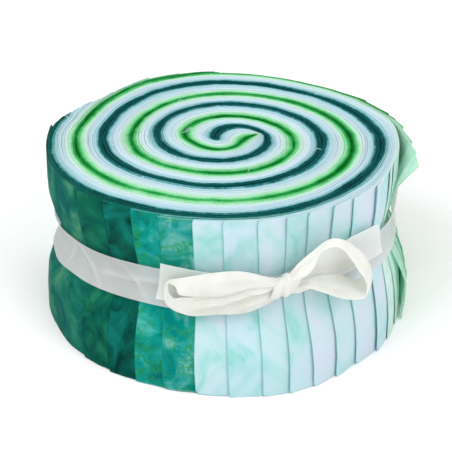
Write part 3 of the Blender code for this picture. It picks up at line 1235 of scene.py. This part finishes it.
    def _inner_radius(self, angle: np.ndarray, place: np.ndarray, height: np.ndarray) -> np.ndarray:
        """Reads the radius of a place in the inner leg, as _outer_radius does."""
        form = self.winding
        inside = form.green(angle)
        beyond = angle - 720.0
        onto_wall = ease((angle - 728.0) / 8.0)
        outside = form.teal(angle) * (1 - onto_wall) + form.top_wall(angle) * onto_wall
        left = np.where(beyond > self.inner_ends[-1], self._left(beyond), float(len(self.strips)))
        radius = inside + (outside - inside) * place / np.maximum(left, 0.6)
        return form.pressed(angle, radius, height)

    def _strip_faces(self, strip: Strip) -> tuple[np.ndarray, np.ndarray]:
        """Works out the two faces of a strip.

        Args:
            strip: The strip.

        Returns:
            Points of its outer and inner faces in mm, (columns, rows, 3).
        """
        form = self.winding
        heights = np.array(self.heights)
        thin = (1 - self.cloth) / 2
        outer_end = 360.0 + max(strip.top_end, strip.foot_end)
        inner_end = 720.0 + self.inner_ends[strip.number]
        outer_leg = np.append(self._grid(form.teal_first, outer_end), outer_end)[::-1]
        inner_leg = np.append(self._grid(0.0, inner_end), inner_end)
        slant = (strip.top_end - strip.foot_end) * (heights / form.width)
        slant = slant + strip.foot_end + 360.0 - outer_end
        slant = slant - self.CORNER * ((heights > form.width - 0.1) | (heights < 0.1))
        wobble = 0.16 * slow_noise(self.rng, len(heights), 1.2)
        ending = ease((outer_leg - outer_end + self.END_LENGTH) / self.END_LENGTH)
        faces = []
        for place in (strip.number + thin, strip.number + 1 - thin):
            angle = outer_leg[:, None] + (slant + wobble)[None, :] * ending[:, None]
            height = np.broadcast_to(heights, angle.shape)
            radius = self._outer_radius(angle, place, height)
            curl = self.END_CURL * ending**3
            radius = radius + curl[:, None] * form.held(angle, height)
            outer = form.polar(angle, radius)
            share = place / len(self.strips)
            heart = self.green_rungs + (self.teal_rungs - self.green_rungs) * share
            heart = np.repeat(heart[:, None, :], len(heights), axis=1)
            angle = np.broadcast_to(inner_leg[:, None], (len(inner_leg), len(heights)))
            height = np.broadcast_to(heights, angle.shape)
            inner = form.polar(angle, self._inner_radius(angle, place, height))
            faces.append(np.concatenate([outer[:-1], heart, inner], axis=0))
        return faces[0], faces[1]

    def build_strip(self, strip: Strip, material: bpy.types.Material) -> bpy.types.Object:
        """Builds one strip.

        Args:
            strip: The strip.
            material: Its cotton.

        Returns:
            The piece.
        """
        first, second = self._strip_faces(strip)
        count = len(first)
        middle = (first + second).mean(axis=1) / 2
        steps = np.linalg.norm(np.diff(middle, axis=0), axis=1)
        along = np.concatenate([[0.0], np.cumsum(steps)]) * MM
        heights = np.array(self.heights)
        raised = self.rng.normal() * self.HEIGHT_SPREAD
        raised = raised + self.WAVE * slow_noise(self.rng, count, 14.0)
        top = np.clip(raised, -0.6, 0.35)
        foot = np.clip(-raised, 0.0, 0.5)
        share = heights / self.winding.width
        level = heights[None, :] + top[:, None] * share**4 + foot[:, None] * (1 - share) ** 4
        outer = self.winding.to_world(first, level)
        inner = self.winding.to_world(second, level)
        name = f"strip_{strip.number + 1:02d}"
        mesh = cloth_mesh(name, outer, inner, along, heights * MM)
        add_values(mesh, "place", np.array([strip.number + 0.5]))
        piece = new_object(name, mesh, material)
        form = self.winding
        if strip.number < form.LOOSE_FIRST:
            replaced = ("wound_strips",)
        elif strip.number <= form.LOOSE_LAST:
            end = "loose_end_outer" if strip.number < 7 else "loose_end_inner"
            replaced = ("wound_strips", end)
        else:
            replaced = ("wound_strips",)
        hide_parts(*replaced)
        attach(piece, "root")
        log.info("%s: %.3f m long, %d faces", name, along[-1], len(mesh.polygons))
        return piece

    def build(self) -> list[bpy.types.Object]:
        """Builds all the strips.

        Returns:
            The pieces.
        """
        materials = {dye: dye.value.material() for dye in Dye}
        return [self.build_strip(strip, materials[strip.dye]) for strip in self.strips]


# The ribbon


@dataclass
class Ribbon:
    """The ribbon round the waist and its bow.

    Each loop is a ribbon that goes out from the knot, turns and comes back, with its
    near edge towards the front. Its rows give three lines along it: the far edge, the
    fold where it bends over, and the near edge. A line's place is an angle, how far it
    stands off the band and its height.

    Attributes:
        winding: The roll that it goes round.
        width: Width in mm.
        cloth: Drawn thickness in mm.
    """

    winding: Winding
    width: float = 14.6
    cloth: float = 0.24

    GAP = 0.4
    BRIDGE = 7.0  # degrees to each side over which the taut ribbon spans steps
    # How far the loose ends under the ribbon stand off the roll, where they leave it and
    # where the longest ends
    LOOSE_SHEETS = (2.6, 0.8)
    BAND_WIDTH = 13.8  # taut, it is a little narrower
    BAND_COLUMNS = 640
    BAND_ROWS = 13
    KNOT_ANGLE = 254.0
    # Under the knot the band is gathered: how far its edges come in, over what reach
    GATHER_LOW = (251.0, 8.0, 6.0)
    GATHER_HIGH = (255.0, 5.5, 3.2)
    LEFT_LOOP = (
        (254.9, 2.5, 40.1, 255.7, 4.5, 43.2, 255.6, 6.0, 40.9),
        (258.3, 1.6, 39.8, 259.1, 4.6, 44.7, 258.7, 7.0, 41.7),
        (263.4, 1.3, 42.3, 264.3, 4.6, 47.1, 264.1, 7.4, 42.1),
        (267.6, 1.2, 42.4, 267.8, 4.6, 47.6, 267.8, 7.6, 40.5),
        (272.1, 1.2, 42.3, 271.8, 4.6, 47.1, 271.8, 7.8, 39.5),
        (276.5, 1.2, 41.7, 275.9, 4.4, 46.0, 275.8, 7.6, 38.8),
        (280.8, 1.2, 40.2, 280.0, 4.2, 44.4, 279.7, 7.2, 37.9),
        (284.4, 1.3, 38.3, 283.7, 4.0, 42.7, 283.1, 6.6, 37.9),
        (285.6, 3.0, 36.9, 286.6, 3.6, 41.1, 284.9, 6.0, 41.0),
        (286.2, 3.2, 35.6, 288.0, 3.4, 38.7, 286.3, 5.6, 41.0),
        (286.4, 3.2, 34.3, 288.5, 3.4, 35.6, 286.6, 5.6, 38.0),
        (285.9, 3.0, 32.9, 288.0, 3.6, 32.5, 286.2, 5.8, 36.8),
        (284.8, 1.3, 30.8, 285.8, 4.0, 30.9, 284.7, 6.2, 35.6),
        (282.5, 1.2, 30.6, 282.9, 4.4, 30.2, 282.3, 6.8, 36.6),
        (279.4, 1.2, 30.8, 279.6, 4.6, 29.8, 279.3, 7.0, 37.3),
        (276.1, 1.2, 31.3, 275.9, 4.6, 30.4, 275.8, 7.0, 38.4),
        (271.9, 1.2, 32.0, 272.0, 4.6, 31.1, 271.8, 7.0, 39.2),
        (267.6, 1.2, 32.5, 267.7, 4.6, 31.3, 267.8, 6.8, 40.2),
        (263.4, 1.3, 33.3, 263.7, 4.6, 31.9, 263.9, 6.9, 41.6),
        (257.5, 1.6, 37.4, 257.6, 4.4, 34.3, 258.3, 6.2, 41.2),
        (254.9, 2.5, 38.4, 255.3, 4.4, 36.7, 255.5, 5.6, 40.3),
    )
    RIGHT_LOOP = (
        (252.6, 2.5, 40.7, 252.8, 4.5, 44.8, 251.8, 6.5, 42.9),
        (249.3, 1.6, 41.1, 250.2, 4.4, 48.9, 248.8, 7.5, 45.0),
        (245.8, 1.4, 41.0, 247.7, 4.4, 51.3, 247.1, 8.4, 48.6),
        (242.5, 1.2, 40.2, 245.4, 4.6, 53.5, 246.8, 9.0, 52.0),
        (239.4, 1.2, 39.4, 242.8, 4.8, 55.0, 245.5, 9.6, 55.1),
        (235.6, 1.2, 38.6, 240.0, 5.0, 55.0, 242.5, 10.2, 55.7),
        (232.4, 1.3, 38.6, 236.4, 5.2, 53.0, 239.9, 10.6, 53.4),
        (229.6, 1.5, 38.4, 232.6, 5.4, 49.3, 237.6, 11.0, 49.5),
        (227.8, 1.8, 38.0, 228.9, 5.8, 44.5, 235.0, 11.4, 44.3),
        (226.6, 2.2, 36.0, 226.2, 6.4, 39.7, 233.0, 11.8, 40.4),
        (226.2, 2.6, 34.7, 226.0, 7.2, 35.8, 231.8, 12.2, 36.9),
        (226.3, 2.8, 33.6, 227.5, 8.0, 32.8, 232.1, 12.6, 34.1),
        (227.6, 2.8, 33.3, 229.8, 8.0, 32.0, 233.2, 12.6, 32.8),
        (230.4, 2.6, 33.9, 233.2, 7.6, 33.6, 236.2, 12.2, 33.3),
        (234.4, 2.2, 37.3, 237.2, 7.2, 35.4, 239.7, 11.2, 34.7),
        (238.9, 2.0, 38.9, 241.3, 6.8, 37.5, 242.8, 10.0, 36.5),
        (242.3, 2.0, 39.7, 244.3, 6.2, 39.0, 245.0, 8.6, 37.7),
        (245.7, 2.2, 39.5, 246.9, 5.4, 39.9, 247.3, 7.4, 38.8),
        (249.2, 2.5, 39.6, 249.7, 4.8, 38.9, 249.6, 6.0, 37.2),
        (252.6, 3.0, 40.0, 252.8, 4.6, 38.8, 252.8, 5.4, 37.4),
    )
    # The tails: angle and height of the low edge, then of the high edge
    LEFT_TAIL = (
        (255.5, 37.2, 255.5, 41.2),
        (260.0, 33.0, 260.0, 42.0),
        (264.4, 31.1, 264.4, 43.0),
        (271.8, 31.1, 271.8, 43.8),
        (279.3, 31.0, 277.3, 44.4),
        (287.1, 31.0, 283.9, 45.4),
        (291.9, 31.2, 289.7, 45.9),
    )
    RIGHT_TAIL = (
        (251.0, 38.4, 251.0, 42.6),
        (245.8, 36.6, 246.2, 43.4),
        (240.6, 34.9, 241.6, 46.2),
        (233.0, 35.3, 236.5, 48.5),
        (226.5, 35.8, 230.8, 50.1),
        (220.3, 35.8, 226.5, 50.4),
        (216.4, 35.9, 221.8, 50.5),
        (212.8, 35.9, 218.2, 50.0),
    )
    # Lengthwise creases: share along and across at one end and at the other, depth and
    # breadth in mm
    LEFT_CREASES = (
        (0.68, 0.70, 0.98, 0.93, -1.5, 1.0),
        (0.70, 0.86, 0.98, 0.99, 0.7, 1.1),
        (0.84, 0.62, 0.99, 0.74, -1.1, 0.9),
        (0.80, 0.66, 0.99, 0.84, 0.7, 1.0),
        (0.02, 0.64, 0.30, 0.76, -0.9, 1.2),
        (0.0, 0.58, 0.22, 0.62, 0.5, 1.0),
        (0.10, 0.86, 0.42, 0.90, -0.6, 1.3),
    )
    RIGHT_CREASES = (
        (0.0, 0.72, 0.17, 0.80, -0.6, 0.9),
        (0.0, 0.55, 0.14, 0.62, 0.5, 0.9),
        (0.02, 0.30, 0.45, 0.34, -0.7, 1.3),
        (0.10, 0.12, 0.40, 0.15, 0.6, 1.2),
        (0.72, 0.45, 1.0, 0.40, -0.6, 0.9),
        (0.80, 0.72, 1.0, 0.66, -0.5, 0.8),
        (0.78, 0.22, 1.0, 0.25, 0.5, 0.8),
    )

    def _under(self, angle: np.ndarray, height: np.ndarray) -> np.ndarray:
        """Reads the outside of what the ribbon lies on."""
        form = self.winding
        reach = form.wall(angle, height)
        turned = angle % 360.0
        angles = (form.LOOSE_FROM - 1.0, form.LOOSE_FROM + 4.0, form.LOOSE_TO, form.LOOSE_TO + 1.0)
        return reach + np.interp(turned, angles, (0.0, *self.LOOSE_SHEETS, 0.0))

    def band_radius(self, angle: np.ndarray, height: np.ndarray) -> np.ndarray:
        """Reads the inner face of the taut ribbon, which spans the steps under it.

        Args:
            angle: Angles in degrees.
            height: Heights in mm.

        Returns:
            Radii in mm.
        """
        total = 0.0
        for near in range(7):
            at = angle + self.BRIDGE * (near - 3) / 3
            tight = [
                self._under(at + self.BRIDGE * (far - 3) / 3, height) for far in range(7)
            ]
            total = total + np.maximum.reduce(tight)
        return total / 7 + self.GAP

    def _on_band(self, places: np.ndarray) -> np.ndarray:
        """Turns angles, distances off the band and heights into points in metres."""
        angle, off, height = places[..., 0], places[..., 1], places[..., 2]
        radius = self.band_radius(angle, height) + 1.0 + off
        return self.winding.to_world(self.winding.polar(angle, radius), height)

    def _thicken(self, middle: np.ndarray) -> tuple[np.ndarray, np.ndarray]:
        """Gives a grid of points its cloth's thickness, half to each side."""
        along = np.gradient(middle, axis=0)
        across = np.gradient(middle, axis=1)
        normal = np.cross(along, across)
        length = np.linalg.norm(normal, axis=-1, keepdims=True)
        normal = normal / np.maximum(length, 1e-12) * self.cloth * MM / 2
        return middle + normal, middle - normal

    def _crease(self, grid: np.ndarray, creases: tuple, gather: float) -> np.ndarray:
        """Presses lengthwise creases and the knot's fine pleats into a loop.

        Args:
            grid: Its points in metres, (columns, rows, 3).
            creases: Rows of the creases.
            gather: How deep the pleats are at the knot, in mm.

        Returns:
            The creased points.
        """
        along = np.gradient(grid, axis=0)
        across = np.gradient(grid, axis=1)
        normal = np.cross(along, across)
        normal /= np.maximum(np.linalg.norm(normal, axis=-1, keepdims=True), 1e-12)
        t = np.linspace(0, 1, grid.shape[0])[:, None]
        w = np.linspace(0, 1, grid.shape[1])[None, :]
        wide = np.linalg.norm(np.diff(grid, axis=1), axis=-1).sum(axis=1)[:, None] / MM
        depth = np.zeros(grid.shape[:2])
        for from_t, from_w, to_t, to_w, deep, broad in creases:
            share = (t - from_t) / (to_t - from_t)
            line = from_w + (to_w - from_w) * share
            fade = ease(share * 5) * ease((1 - share) * 5)
            distance = (w - line) * wide / broad
            depth = depth + deep * fade * np.exp(-(distance**2))
        near_knot = np.exp(-t / 0.10) + np.exp(-(1 - t) / 0.10)
        pleats = np.sin(2 * np.pi * (3.4 * w + 0.6 * t)) + 0.5 * np.sin(2 * np.pi * 6.3 * w + 1.0)
        depth = depth + gather * near_knot * pleats
        soft = 0.16 * np.sin(9 * t + 4 * w) * np.sin(21 * t - 3 * w)
        return grid - normal * (depth + soft)[..., None] * MM

    def _sheet(
        self,
        name: str,
        grid: np.ndarray,
        material: bpy.types.Material,
        node: str,
    ) -> bpy.types.Object:
        """Makes a piece of ribbon of a grid of points.

        Args:
            name: The piece's name.
            grid: Points of the ribbon's middle in metres, (columns, rows, 3).
            material: Its finish.
            node: The node that it replaces.

        Returns:
            The piece.
        """
        outer, inner = self._thicken(grid)
        steps = np.linalg.norm(np.diff(grid, axis=0), axis=2).mean(axis=1)
        along = np.concatenate([[0.0], np.cumsum(steps)])
        rows = np.linspace(0.0, self.width * MM, grid.shape[1])
        mesh = cloth_mesh(name, outer, inner, along, rows)
        piece = new_object(name, mesh, material)
        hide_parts(node)
        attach(piece, "root")
        return piece

    def build_band(self, material: bpy.types.Material) -> bpy.types.Object:
        """Builds the ribbon round the waist, gathered under the knot.

        Args:
            material: Its finish.

        Returns:
            The piece.
        """
        form = self.winding
        angle = np.linspace(0.0, 360.0, self.BAND_COLUMNS + 1)[:, None]
        share = np.linspace(0.0, 1.0, self.BAND_ROWS)[None, :]
        middle = around(form.RIBBON_PATH, angle, 1)
        low = middle - self.BAND_WIDTH / 2 + self._gather(angle, self.GATHER_LOW)
        high = middle + self.BAND_WIDTH / 2 - self._gather(angle, self.GATHER_HIGH)
        height = low + (high - low) * share
        angle = np.broadcast_to(angle, height.shape)
        radius = self.band_radius(angle, height) + 0.35
        pleat = np.exp(-(((angle - self.KNOT_ANGLE) / 9.0) ** 2))
        radius = radius + 0.3 * pleat * np.sin(2 * np.pi * 3 * share)
        folds = self._drag(angle, share)
        grid = form.to_world(form.polar(angle, radius + folds), height)
        piece = self._sheet("ribbon_round_waist", grid, material, "ribbon_band")
        both_faces = np.concatenate([folds, folds[:, ::-1]], axis=1).reshape(-1)
        add_values(piece.data, "fold", both_faces)
        return piece

    @staticmethod
    def _gather(angle: np.ndarray, row: tuple[float, float, float]) -> np.ndarray:
        """Reads how far an edge of the band comes in towards the knot."""
        centre, reach, depth = row
        return depth * np.exp(-(((angle - centre) / reach) ** 2))

    @staticmethod
    def _drag(angle: np.ndarray, share: np.ndarray) -> np.ndarray:
        """Reads the low slanting folds that the pull leaves in the band."""
        folds = 0.0
        for centre, slope, height in ((318.0, 11.0, 1.0), (329.0, -8.0, 0.6), (300.0, 12.0, 0.5)):
            distance = (angle - centre - slope * (share - 0.5)) / 0.9
            folds = folds + height * np.exp(-(distance**2)) * np.sin(np.pi * share)
        lengthwise = np.exp(-(((share - 0.62 + 0.008 * (angle - 290.0)) / 0.06) ** 2))
        reach = ease((angle - 286.0) / 6.0) * ease((318.0 - angle) / 10.0)
        return folds + 0.6 * lengthwise * reach

    def build_loop(
        self, name: str, rows: tuple, creases: tuple, material: bpy.types.Material, node: str
    ) -> bpy.types.Object:
        """Builds a loop of the bow.

        Args:
            name: The piece's name.
            rows: Its rows of three places.
            creases: Its creases.
            material: Its finish.
            node: The node that it replaces.

        Returns:
            The piece.
        """
        table = np.array(rows).reshape(len(rows), 3, 3)
        places = np.stack([smooth_line(table[:, line], 7) for line in range(3)], axis=1)
        sections = np.stack([smooth_line(section, 9) for section in places])
        grid = self._on_band(sections)
        grid = self._crease(grid, creases, 0.28)
        return self._sheet(name, grid, material, node)

    def build_tail(
        self, name: str, rows: tuple, off: float, material: bpy.types.Material, node: str
    ) -> bpy.types.Object:
        """Builds a tail of the bow, which lies on the band.

        Args:
            name: The piece's name.
            rows: Its rows of two edges.
            off: How far it lies off the place of the bow's parts, in mm.
            material: Its finish.
            node: The node that it replaces.

        Returns:
            The piece.
        """
        line = smooth_line(rows, 8)
        share = np.linspace(0, 1, 12)[None, :]
        low, high = line[:, None, 0:2], line[:, None, 2:4]
        middle = low + (high - low) * share[..., None]
        t = np.linspace(0, 1, len(line))[:, None]
        lift = off + 0.45 * t**3 + 0.25 * np.sin(2.2 * np.pi * t + 2 * share) * t
        lift = lift + 0.25 * np.exp(-t / 0.15) * np.sin(6 * np.pi * share)
        places = np.stack([middle[..., 0], lift + 0 * middle[..., 0], middle[..., 1]], axis=-1)
        return self._sheet(name, self._on_band(places), material, node)

    def build_knot(self, material: bpy.types.Material) -> bpy.types.Object:
        """Builds the turn of ribbon that is the knot.

        Args:
            material: Its finish.

        Returns:
            The piece.
        """
        turn = np.linspace(0.0, 2 * np.pi, 73)[:, None]
        side = np.linspace(-1.0, 1.0, 25)[None, :]
        ridges = 0.09 * np.sin(5.2 * side + 0.9 * np.sin(turn)) + 0.05 * np.sin(11 * side + turn)
        size = 1.0 - 0.30 * np.abs(side) ** 3 + ridges
        leaning = 0.55 * np.sin(turn)
        angle = self.KNOT_ANGLE - (3.8 * side + leaning * 1.6)
        off = 4.2 + 3.3 * size * np.cos(turn)
        height = 40.0 + 4.1 * size * np.sin(turn) + 1.0 * side
        places = np.stack(np.broadcast_arrays(angle, np.maximum(off, 0.9), height), axis=-1)
        grid = self._on_band(places)
        return self._sheet("bow_knot_turn", grid, material, "bow_knot")

    def build(self) -> list[bpy.types.Object]:
        """Builds the ribbon and its bow.

        Returns:
            The pieces.
        """
        band = SheerRibbon("sheer ribbon, one layer", "eef0ef", "f4f4f6", 0.66).material()
        tail = SheerRibbon("sheer ribbon, two layers", "fafcfa", "fcfdfb", 0.89).material()
        loop = SheerRibbon("sheer ribbon, gathered", "fefefb", "f9f8f2", 0.97).material()
        return [
            self.build_band(band),
            self.build_tail("left_tail", self.LEFT_TAIL, 0.1, tail, "bow_tail_left"),
            self.build_tail("right_tail", self.RIGHT_TAIL, 0.1, tail, "bow_tail_right"),
            self.build_loop("left_loop", self.LEFT_LOOP, self.LEFT_CREASES, loop, "bow_loop_left"),
            self.build_loop(
                "right_loop", self.RIGHT_LOOP, self.RIGHT_CREASES, loop, "bow_loop_right"
            ),
            self.build_knot(loop),
        ]


# Loose threads


@dataclass(frozen=True)
class LooseThreads:
    """Ends of thread that have worked loose along the cut edges, as one mesh.

    Attributes:
        winding: The roll on whose top they lie.
        radius: Drawn radius in mm.
    """

    winding: Winding
    radius: float = 0.11

    SIDES = 5
    PARTS = 9
    # Where a thread starts, from the winding's centre, its heading in degrees
    # anticlockwise from +X, its length, how far it turns and how high it rises
    THREADS = (
        (-15.6, 6.2, 35.0, 7.4, -275.0, 1.6),
        (-18.2, -19.4, 60.0, 3.4, 80.0, 1.0),
        (-41.6, -8.2, 20.0, 3.6, 70.0, 0.8),
        (3.6, -26.6, 150.0, 4.2, -60.0, 0.6),
        (7.0, -27.4, 20.0, 3.0, 90.0, 0.8),
        (-18.4, 32.0, 40.0, 2.6, -70.0, 0.7),
        (-57.6, 15.4, 110.0, 4.0, 40.0, 1.1),
        (31.0, -11.4, 70.0, 3.2, -90.0, 0.7),
        (36.2, 16.0, 200.0, 3.0, 60.0, 0.6),
        (-30.6, -34.0, 10.0, 3.0, 70.0, 0.8),
        (14.2, -44.0, 95.0, 2.6, 60.0, 0.8),
        (48.4, -22.6, 40.0, 3.4, 80.0, 0.9),
        (-6.4, 44.2, 0.0, 3.0, -60.0, 0.6),
        (22.0, 36.4, 300.0, 2.8, 60.0, 0.7),
        (-44.0, 26.0, 30.0, 3.0, 70.0, 0.6),
        (-8.4, -55.8, 10.0, 4.2, 40.0, 0.5),
    )

    def _path(self, row: tuple[float, ...]) -> np.ndarray:
        """Works out a thread's points in mm from its row."""
        x, y, heading, length, bend, rise = row
        share = np.linspace(0, 1, self.PARTS)
        turn = np.radians(heading + bend * share)
        step = length / (self.PARTS - 1)
        plan = np.stack([np.cos(turn), np.sin(turn)], axis=1) * step
        plan = np.array([x, y]) + np.cumsum(plan, axis=0) + np.array(self.winding.centre)
        height = self.winding.width - 0.2 + rise * np.sin(np.pi * share**0.8)
        return np.column_stack([plan, height])

    def build(self) -> bpy.types.Object:
        """Builds the threads.

        Returns:
            The piece.
        """
        cotton = BatikCotton(
            "loose thread", ("cfe9dc", "d6eee4", "def2ea", "e6f6f0"), "cfe9dc", "cfe9dc", seed=15
        )
        shape = bmesh.new()
        around_tube = 2 * np.pi * np.arange(self.SIDES) / self.SIDES
        for row in self.THREADS:
            path = self._path(row)
            rings = []
            for place, ahead in zip(path, np.gradient(path, axis=0), strict=True):
                side = np.cross(ahead, (0.0, 0.0, 1.0))
                side /= np.linalg.norm(side)
                up = np.cross(side, ahead)
                up /= np.linalg.norm(up)
                ring = [
                    place + self.radius * (math.cos(turn) * side + math.sin(turn) * up)
                    for turn in around_tube
                ]
                rings.append([shape.verts.new(point * MM) for point in ring])
            for first, second in zip(rings, rings[1:]):
                for k in range(self.SIDES):
                    after = (k + 1) % self.SIDES
                    shape.faces.new((first[k], first[after], second[after], second[k]))
            shape.faces.new(rings[0][::-1])
            shape.faces.new(rings[-1])
        bmesh.ops.recalc_face_normals(shape, faces=shape.faces)
        mesh = bpy.data.meshes.new("loose_threads")
        shape.to_mesh(mesh)
        shape.free()
        mesh.uv_layers.new(name="cloth")
        add_values(mesh, "end", np.array([1.0]))
        add_values(mesh, "place", np.array([20.0]))
        piece = new_object("loose_threads", mesh, cotton.material())
        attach(piece, "root")
        log.info("loose_threads: %d threads", len(self.THREADS))
        return piece


# The room


@dataclass(frozen=True)
class Studio:
    """A pale floor, soft light and the camera.

    The camera stands 0.7 m from the roll's middle and looks down at 27.28 degrees. Its
    aim lies a little off the middle of the frame, by a pan and a tilt.
    """

    frame_side: float = 452.0
    focal: float = 1918.3
    distance: float = 0.70
    elevation: float = 27.28
    aim: tuple[float, float, float] = (-0.002185, 0.002933, 0.03175)
    aim_pixel: tuple[float, float] = (222.55, 220.05)

    def camera(self) -> bpy.types.Object:
        """Makes the scene's camera.

        Returns:
            The camera.
        """
        data = bpy.data.cameras.new("camera")
        data.sensor_width = 36.0
        data.lens = data.sensor_width * self.focal / self.frame_side
        data.clip_start = 0.01
        rise = math.radians(self.elevation)
        back = Vector((0.0, -math.cos(rise), math.sin(rise)))
        right = Vector((1.0, 0.0, 0.0))
        up = back.cross(right)
        turn = Matrix((right, up, back)).transposed()
        half = self.frame_side / 2
        pan = math.atan((self.aim_pixel[0] - half) / self.focal)
        tilt = math.atan((half - self.aim_pixel[1]) / self.focal)
        turn = turn @ Matrix.Rotation(pan, 3, "Y") @ Matrix.Rotation(-tilt, 3, "X")
        made = bpy.data.objects.new("camera", data)
        made.matrix_world = Matrix.Translation(Vector(self.aim) + back * self.distance) @ turn.to_4x4()
        bpy.context.scene.collection.objects.link(made)
        bpy.context.scene.camera = made
        return made

    def floor(self) -> bpy.types.Object:
        """Makes the floor, a large round of matt white card.

        Returns:
            The floor.
        """
        made, tree = new_material("white card")
        grain = add_node(tree, "TexNoise", Scale=400.0, Detail=2.0).outputs["Fac"]
        tone = add_node(tree, "MapRange", Value=grain, To_Min=0.96, To_Max=0.985).outputs[0]
        colour = add_node(tree, "CombineColor", in0=tone, in1=tone, in2=tone).outputs[0]
        shader = add_node(tree, "BsdfDiffuse", Color=colour, Roughness=1.0)
        add_node(tree, "OutputMaterial", Surface=shader.outputs[0])
        shape = bmesh.new()
        bmesh.ops.create_circle(shape, cap_ends=True, segments=96, radius=6.0)
        mesh = bpy.data.meshes.new("floor")
        shape.to_mesh(mesh)
        shape.free()
        floor = new_object("floor", mesh, made)
        floor.location.z = -0.0002
        return floor

    def lights(self) -> None:
        """Makes the soft light: a bright white room and two large lamps."""
        world = bpy.data.worlds.new("room")
        world.use_nodes = True
        ground = world.node_tree.nodes["Background"]
        ground.inputs["Color"].default_value = (1.0, 1.0, 1.0, 1.0)
        ground.inputs["Strength"].default_value = 0.9
        bpy.context.scene.world = world
        lamps = (
            ("left_lamp", (-0.9, -0.7, 1.1), 0.9, 6.6),
            ("right_lamp", (0.8, -0.9, 0.9), 0.9, 4.0),
        )
        for name, place, size, power in lamps:
            data = bpy.data.lights.new(name, "AREA")
            data.size = size
            data.energy = power
            lamp = bpy.data.objects.new(name, data)
            lamp.location = place
            lamp.rotation_euler = (Vector((0, 0, 0.03)) - Vector(place)).to_track_quat("-Z", "Y").to_euler()
            bpy.context.scene.collection.objects.link(lamp)

    def build(self) -> None:
        """Makes the room, and shows colours as they are."""
        bpy.context.scene.view_settings.view_transform = "Standard"
        self.camera()
        self.floor()
        self.lights()
        log.info("studio: camera, floor and lights")


def main() -> None:
    """Builds the room, the strips, the ribbon and the loose threads."""
    logging.basicConfig(level=logging.INFO, format="%(name)s %(message)s")
    Studio().build()
    winding = Winding()
    StripRoll(winding).build()
    Ribbon(winding).build()
    LooseThreads(winding).build()


if __name__ == "__main__":
    main()
